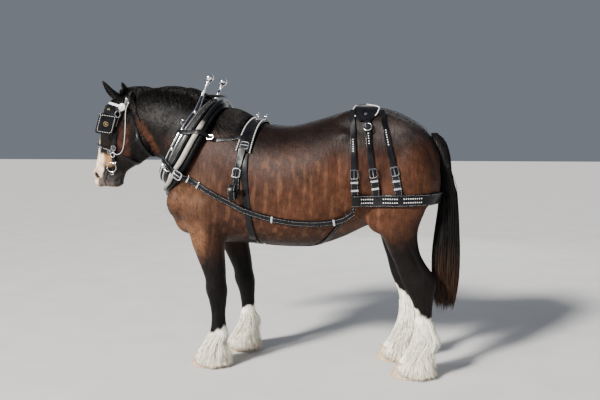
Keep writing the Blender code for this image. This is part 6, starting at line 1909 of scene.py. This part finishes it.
def bakePlaces(points):
    # an unwrap: trunk and neck by length and turn, head by height and turn, legs in four lanes
    x, y, z = points.T
    forward = neckward(x, z)
    spots = np.stack([(x + 1.1) / 2.2 * 0.98, 0.36 + 0.62 * (np.arctan2(y, z - 1.3) / math.tau + 0.5)], 1)
    onHead = forward > 1.05
    spots[onHead] = np.stack([0.7 + 0.29 * (np.arctan2(y, x + 1.33) / math.tau + 0.5), (z - 1.1) * 0.4], 1)[onHead]
    for name, (legSide, stride, rows, spread, white) in legs.items():
        own = (z < 0.9) & (np.sign(y) == legSide) & ((x < 0) == name.startswith("fore"))
        middle = np.interp(z, *np.array([(r[0], (r[1] + r[2]) / 2) for r in rows])[::-1].T) + legShift(z, stride)
        around = np.arctan2(y - legSide * spread, x - middle) / math.tau + 0.5
        spots[own] = np.stack([0.17 * laneOf[name] + 0.16 * around, z * 0.36], 1)[own]
    return np.clip(spots, 0.001, 0.999)


def shortTufts():
    rng = np.random.default_rng(coatSettings["seed"])
    skinMesh.calc_loop_triangles()
    corners = np.zeros(len(skinMesh.loop_triangles) * 3, int)
    skinMesh.loop_triangles.foreach_get("vertices", corners)
    spots = skinPoints[corners.reshape(-1, 3)]
    size = np.linalg.norm(np.cross(spots[:, 1] - spots[:, 0], spots[:, 2] - spots[:, 0]), axis=1)
    middle = spots.mean(1)
    forward = neckward(middle[:, 0], middle[:, 2])
    size[middle[:, 2] < 0.1] = 0
    covers = [treeOf[n] for n in treeOf if n != "skin"]
    parting = coatSettings["parting"]
    for name, own, count in (("coat_body", forward < parting, coatSettings["body"]),
                             ("coat_front", forward >= parting, coatSettings["front"])):
        weight = size * own * (1 + 0.8 * (forward > 1.0) + 0.5 * (middle[:, 2] > 1.6))
        picked = rng.choice(len(size), int(count * 1.15), p=weight / weight.sum())
        mix = rng.dirichlet((1, 1, 1), len(picked))
        roots = (spots[picked] * mix[:, :, None]).sum(1)
        normals = np.cross(spots[picked][:, 1] - spots[picked][:, 0], spots[picked][:, 2] - spots[picked][:, 0])
        normals /= np.linalg.norm(normals, axis=1, keepdims=True)
        free = []
        for k, (root, normal) in enumerate(zip(roots, normals)):
            start, way = Vector(root), Vector(normal)
            if not any(tree.ray_cast(start, way, coatSettings["clearOfStraps"])[0] for tree in covers):
                free.append(k)
        free = np.array(free[:count])
        roots, normals = roots[free], normals[free]
        ways, long = coatWays(roots)
        ways = ways + rng.normal(0, coatSettings["wander"], ways.shape)
        ways -= normals * (ways * normals).sum(1)[:, None]
        ways /= np.linalg.norm(ways, axis=1, keepdims=True) + 1e-9
        tips = ways + normals * rng.uniform(*coatSettings["rise"], (len(roots), 1))
        long = np.maximum(long, 0.0025) * rng.uniform(0.6, 1.25, len(roots))
        paths = np.stack([roots - normals * 0.001, roots + tips * long[:, None]], 1)
        colours = coatColour(roots) * rng.uniform(*coatSettings["tint"], (len(roots), 1))
        colours = np.stack([colours, colours * coatSettings["tipTint"]], 1)
        thick = coatSettings["width"] * np.clip(long / 0.012, 0.35, 1.3) * rng.uniform(0.6, 1.2, len(roots))
        hairPiece(name, paths, thick, normals[:, None, :], colours, bakePlaces(roots), shortHair,
                  coatSettings["flat"], np.array([1.0, 0.0]))


shortHair = hairMaterial("shortHair", 0.1, 0.5, 0.2)
shortTufts()
repeated("white_thread", domeShape(0.0052, 0.0015, 0.0008, 4, 3), stitchLines, whiteThread, 0.0085)
repeated("white_spots", domeShape(0.0088, 0.0084, 0.0032), spotLines, whitePatent, 0.014)
repeated("bridle_spots", domeShape(0.0056, 0.0056, 0.0024), fineSpotLines, whitePatent, 0.012)
repeated("buckles", loopShape(0.05, 0.046, 0.0032), buckleSpots, chromeMetal)
repeated("keepers", blockShape(0.017, 0.042, 0.0045, 0.0014), keeperSpots, chromeMetal)


# Floor and light
paleFloor = Nodes("paleFloor")
paleFloor.set(Base_Color=paleFloor.ramp(paleFloor.noise(2.5, 6.0), ((0.3, 0.6), (0.7, 0.66))), Roughness=0.75)
floorBuild = bmesh.new()
bmesh.ops.create_grid(floorBuild, x_segments=1, y_segments=1, size=60)
newObject("paleFloor", meshFrom(floorBuild), paleFloor.material)
studioLights = {
    "window": {"at": (-3.5, -5.0, 4.4), "size": 2.0, "power": 330, "colour": (1.0, 0.97, 0.92)},
    "fill": {"at": (4.0, -5.0, 2.6), "size": 3.0, "power": 30, "colour": (0.92, 0.96, 1.0)},
    "farSide": {"at": (0.5, 6.0, 3.0), "size": 4.0, "power": 55, "colour": (1.0, 1.0, 1.0)},
}
lightsAimAt = (0, 0, 1.1)
sunLight = {"power": 8.0, "softness": 9, "colour": (1.0, 0.96, 0.9), "shines": (0.5, 0.72, -0.52)}
skyLight = {"colour": (0.78, 0.86, 1.0), "power": 0.22}
sun = bpy.data.lights.new("softSun", "SUN")
sun.energy, sun.angle, sun.color = sunLight["power"], math.radians(sunLight["softness"]), sunLight["colour"]
sunObject = bpy.data.objects.new("softSun", sun)
sunObject.rotation_euler = Vector(sunLight["shines"]).to_track_quat("-Z", "Y").to_euler()
bpy.context.scene.collection.objects.link(sunObject)
for name, light in studioLights.items():
    lamp = bpy.data.lights.new(name, "AREA")
    lamp.shape = "SQUARE"
    lamp.size, lamp.energy, lamp.color = light["size"], light["power"], light["colour"]
    lampObject = bpy.data.objects.new(name, lamp)
    lampObject.location = light["at"]
    aim = Vector(lightsAimAt) - lampObject.location
    lampObject.rotation_euler = aim.to_track_quat("-Z", "Y").to_euler()
    bpy.context.scene.collection.objects.link(lampObject)
sky = bpy.data.worlds.new("studioSky")
sky.use_nodes = True
sky.node_tree.nodes["Background"].inputs["Color"].default_value = (*skyLight["colour"], 1)
sky.node_tree.nodes["Background"].inputs["Strength"].default_value = skyLight["power"]
bpy.context.scene.world = sky
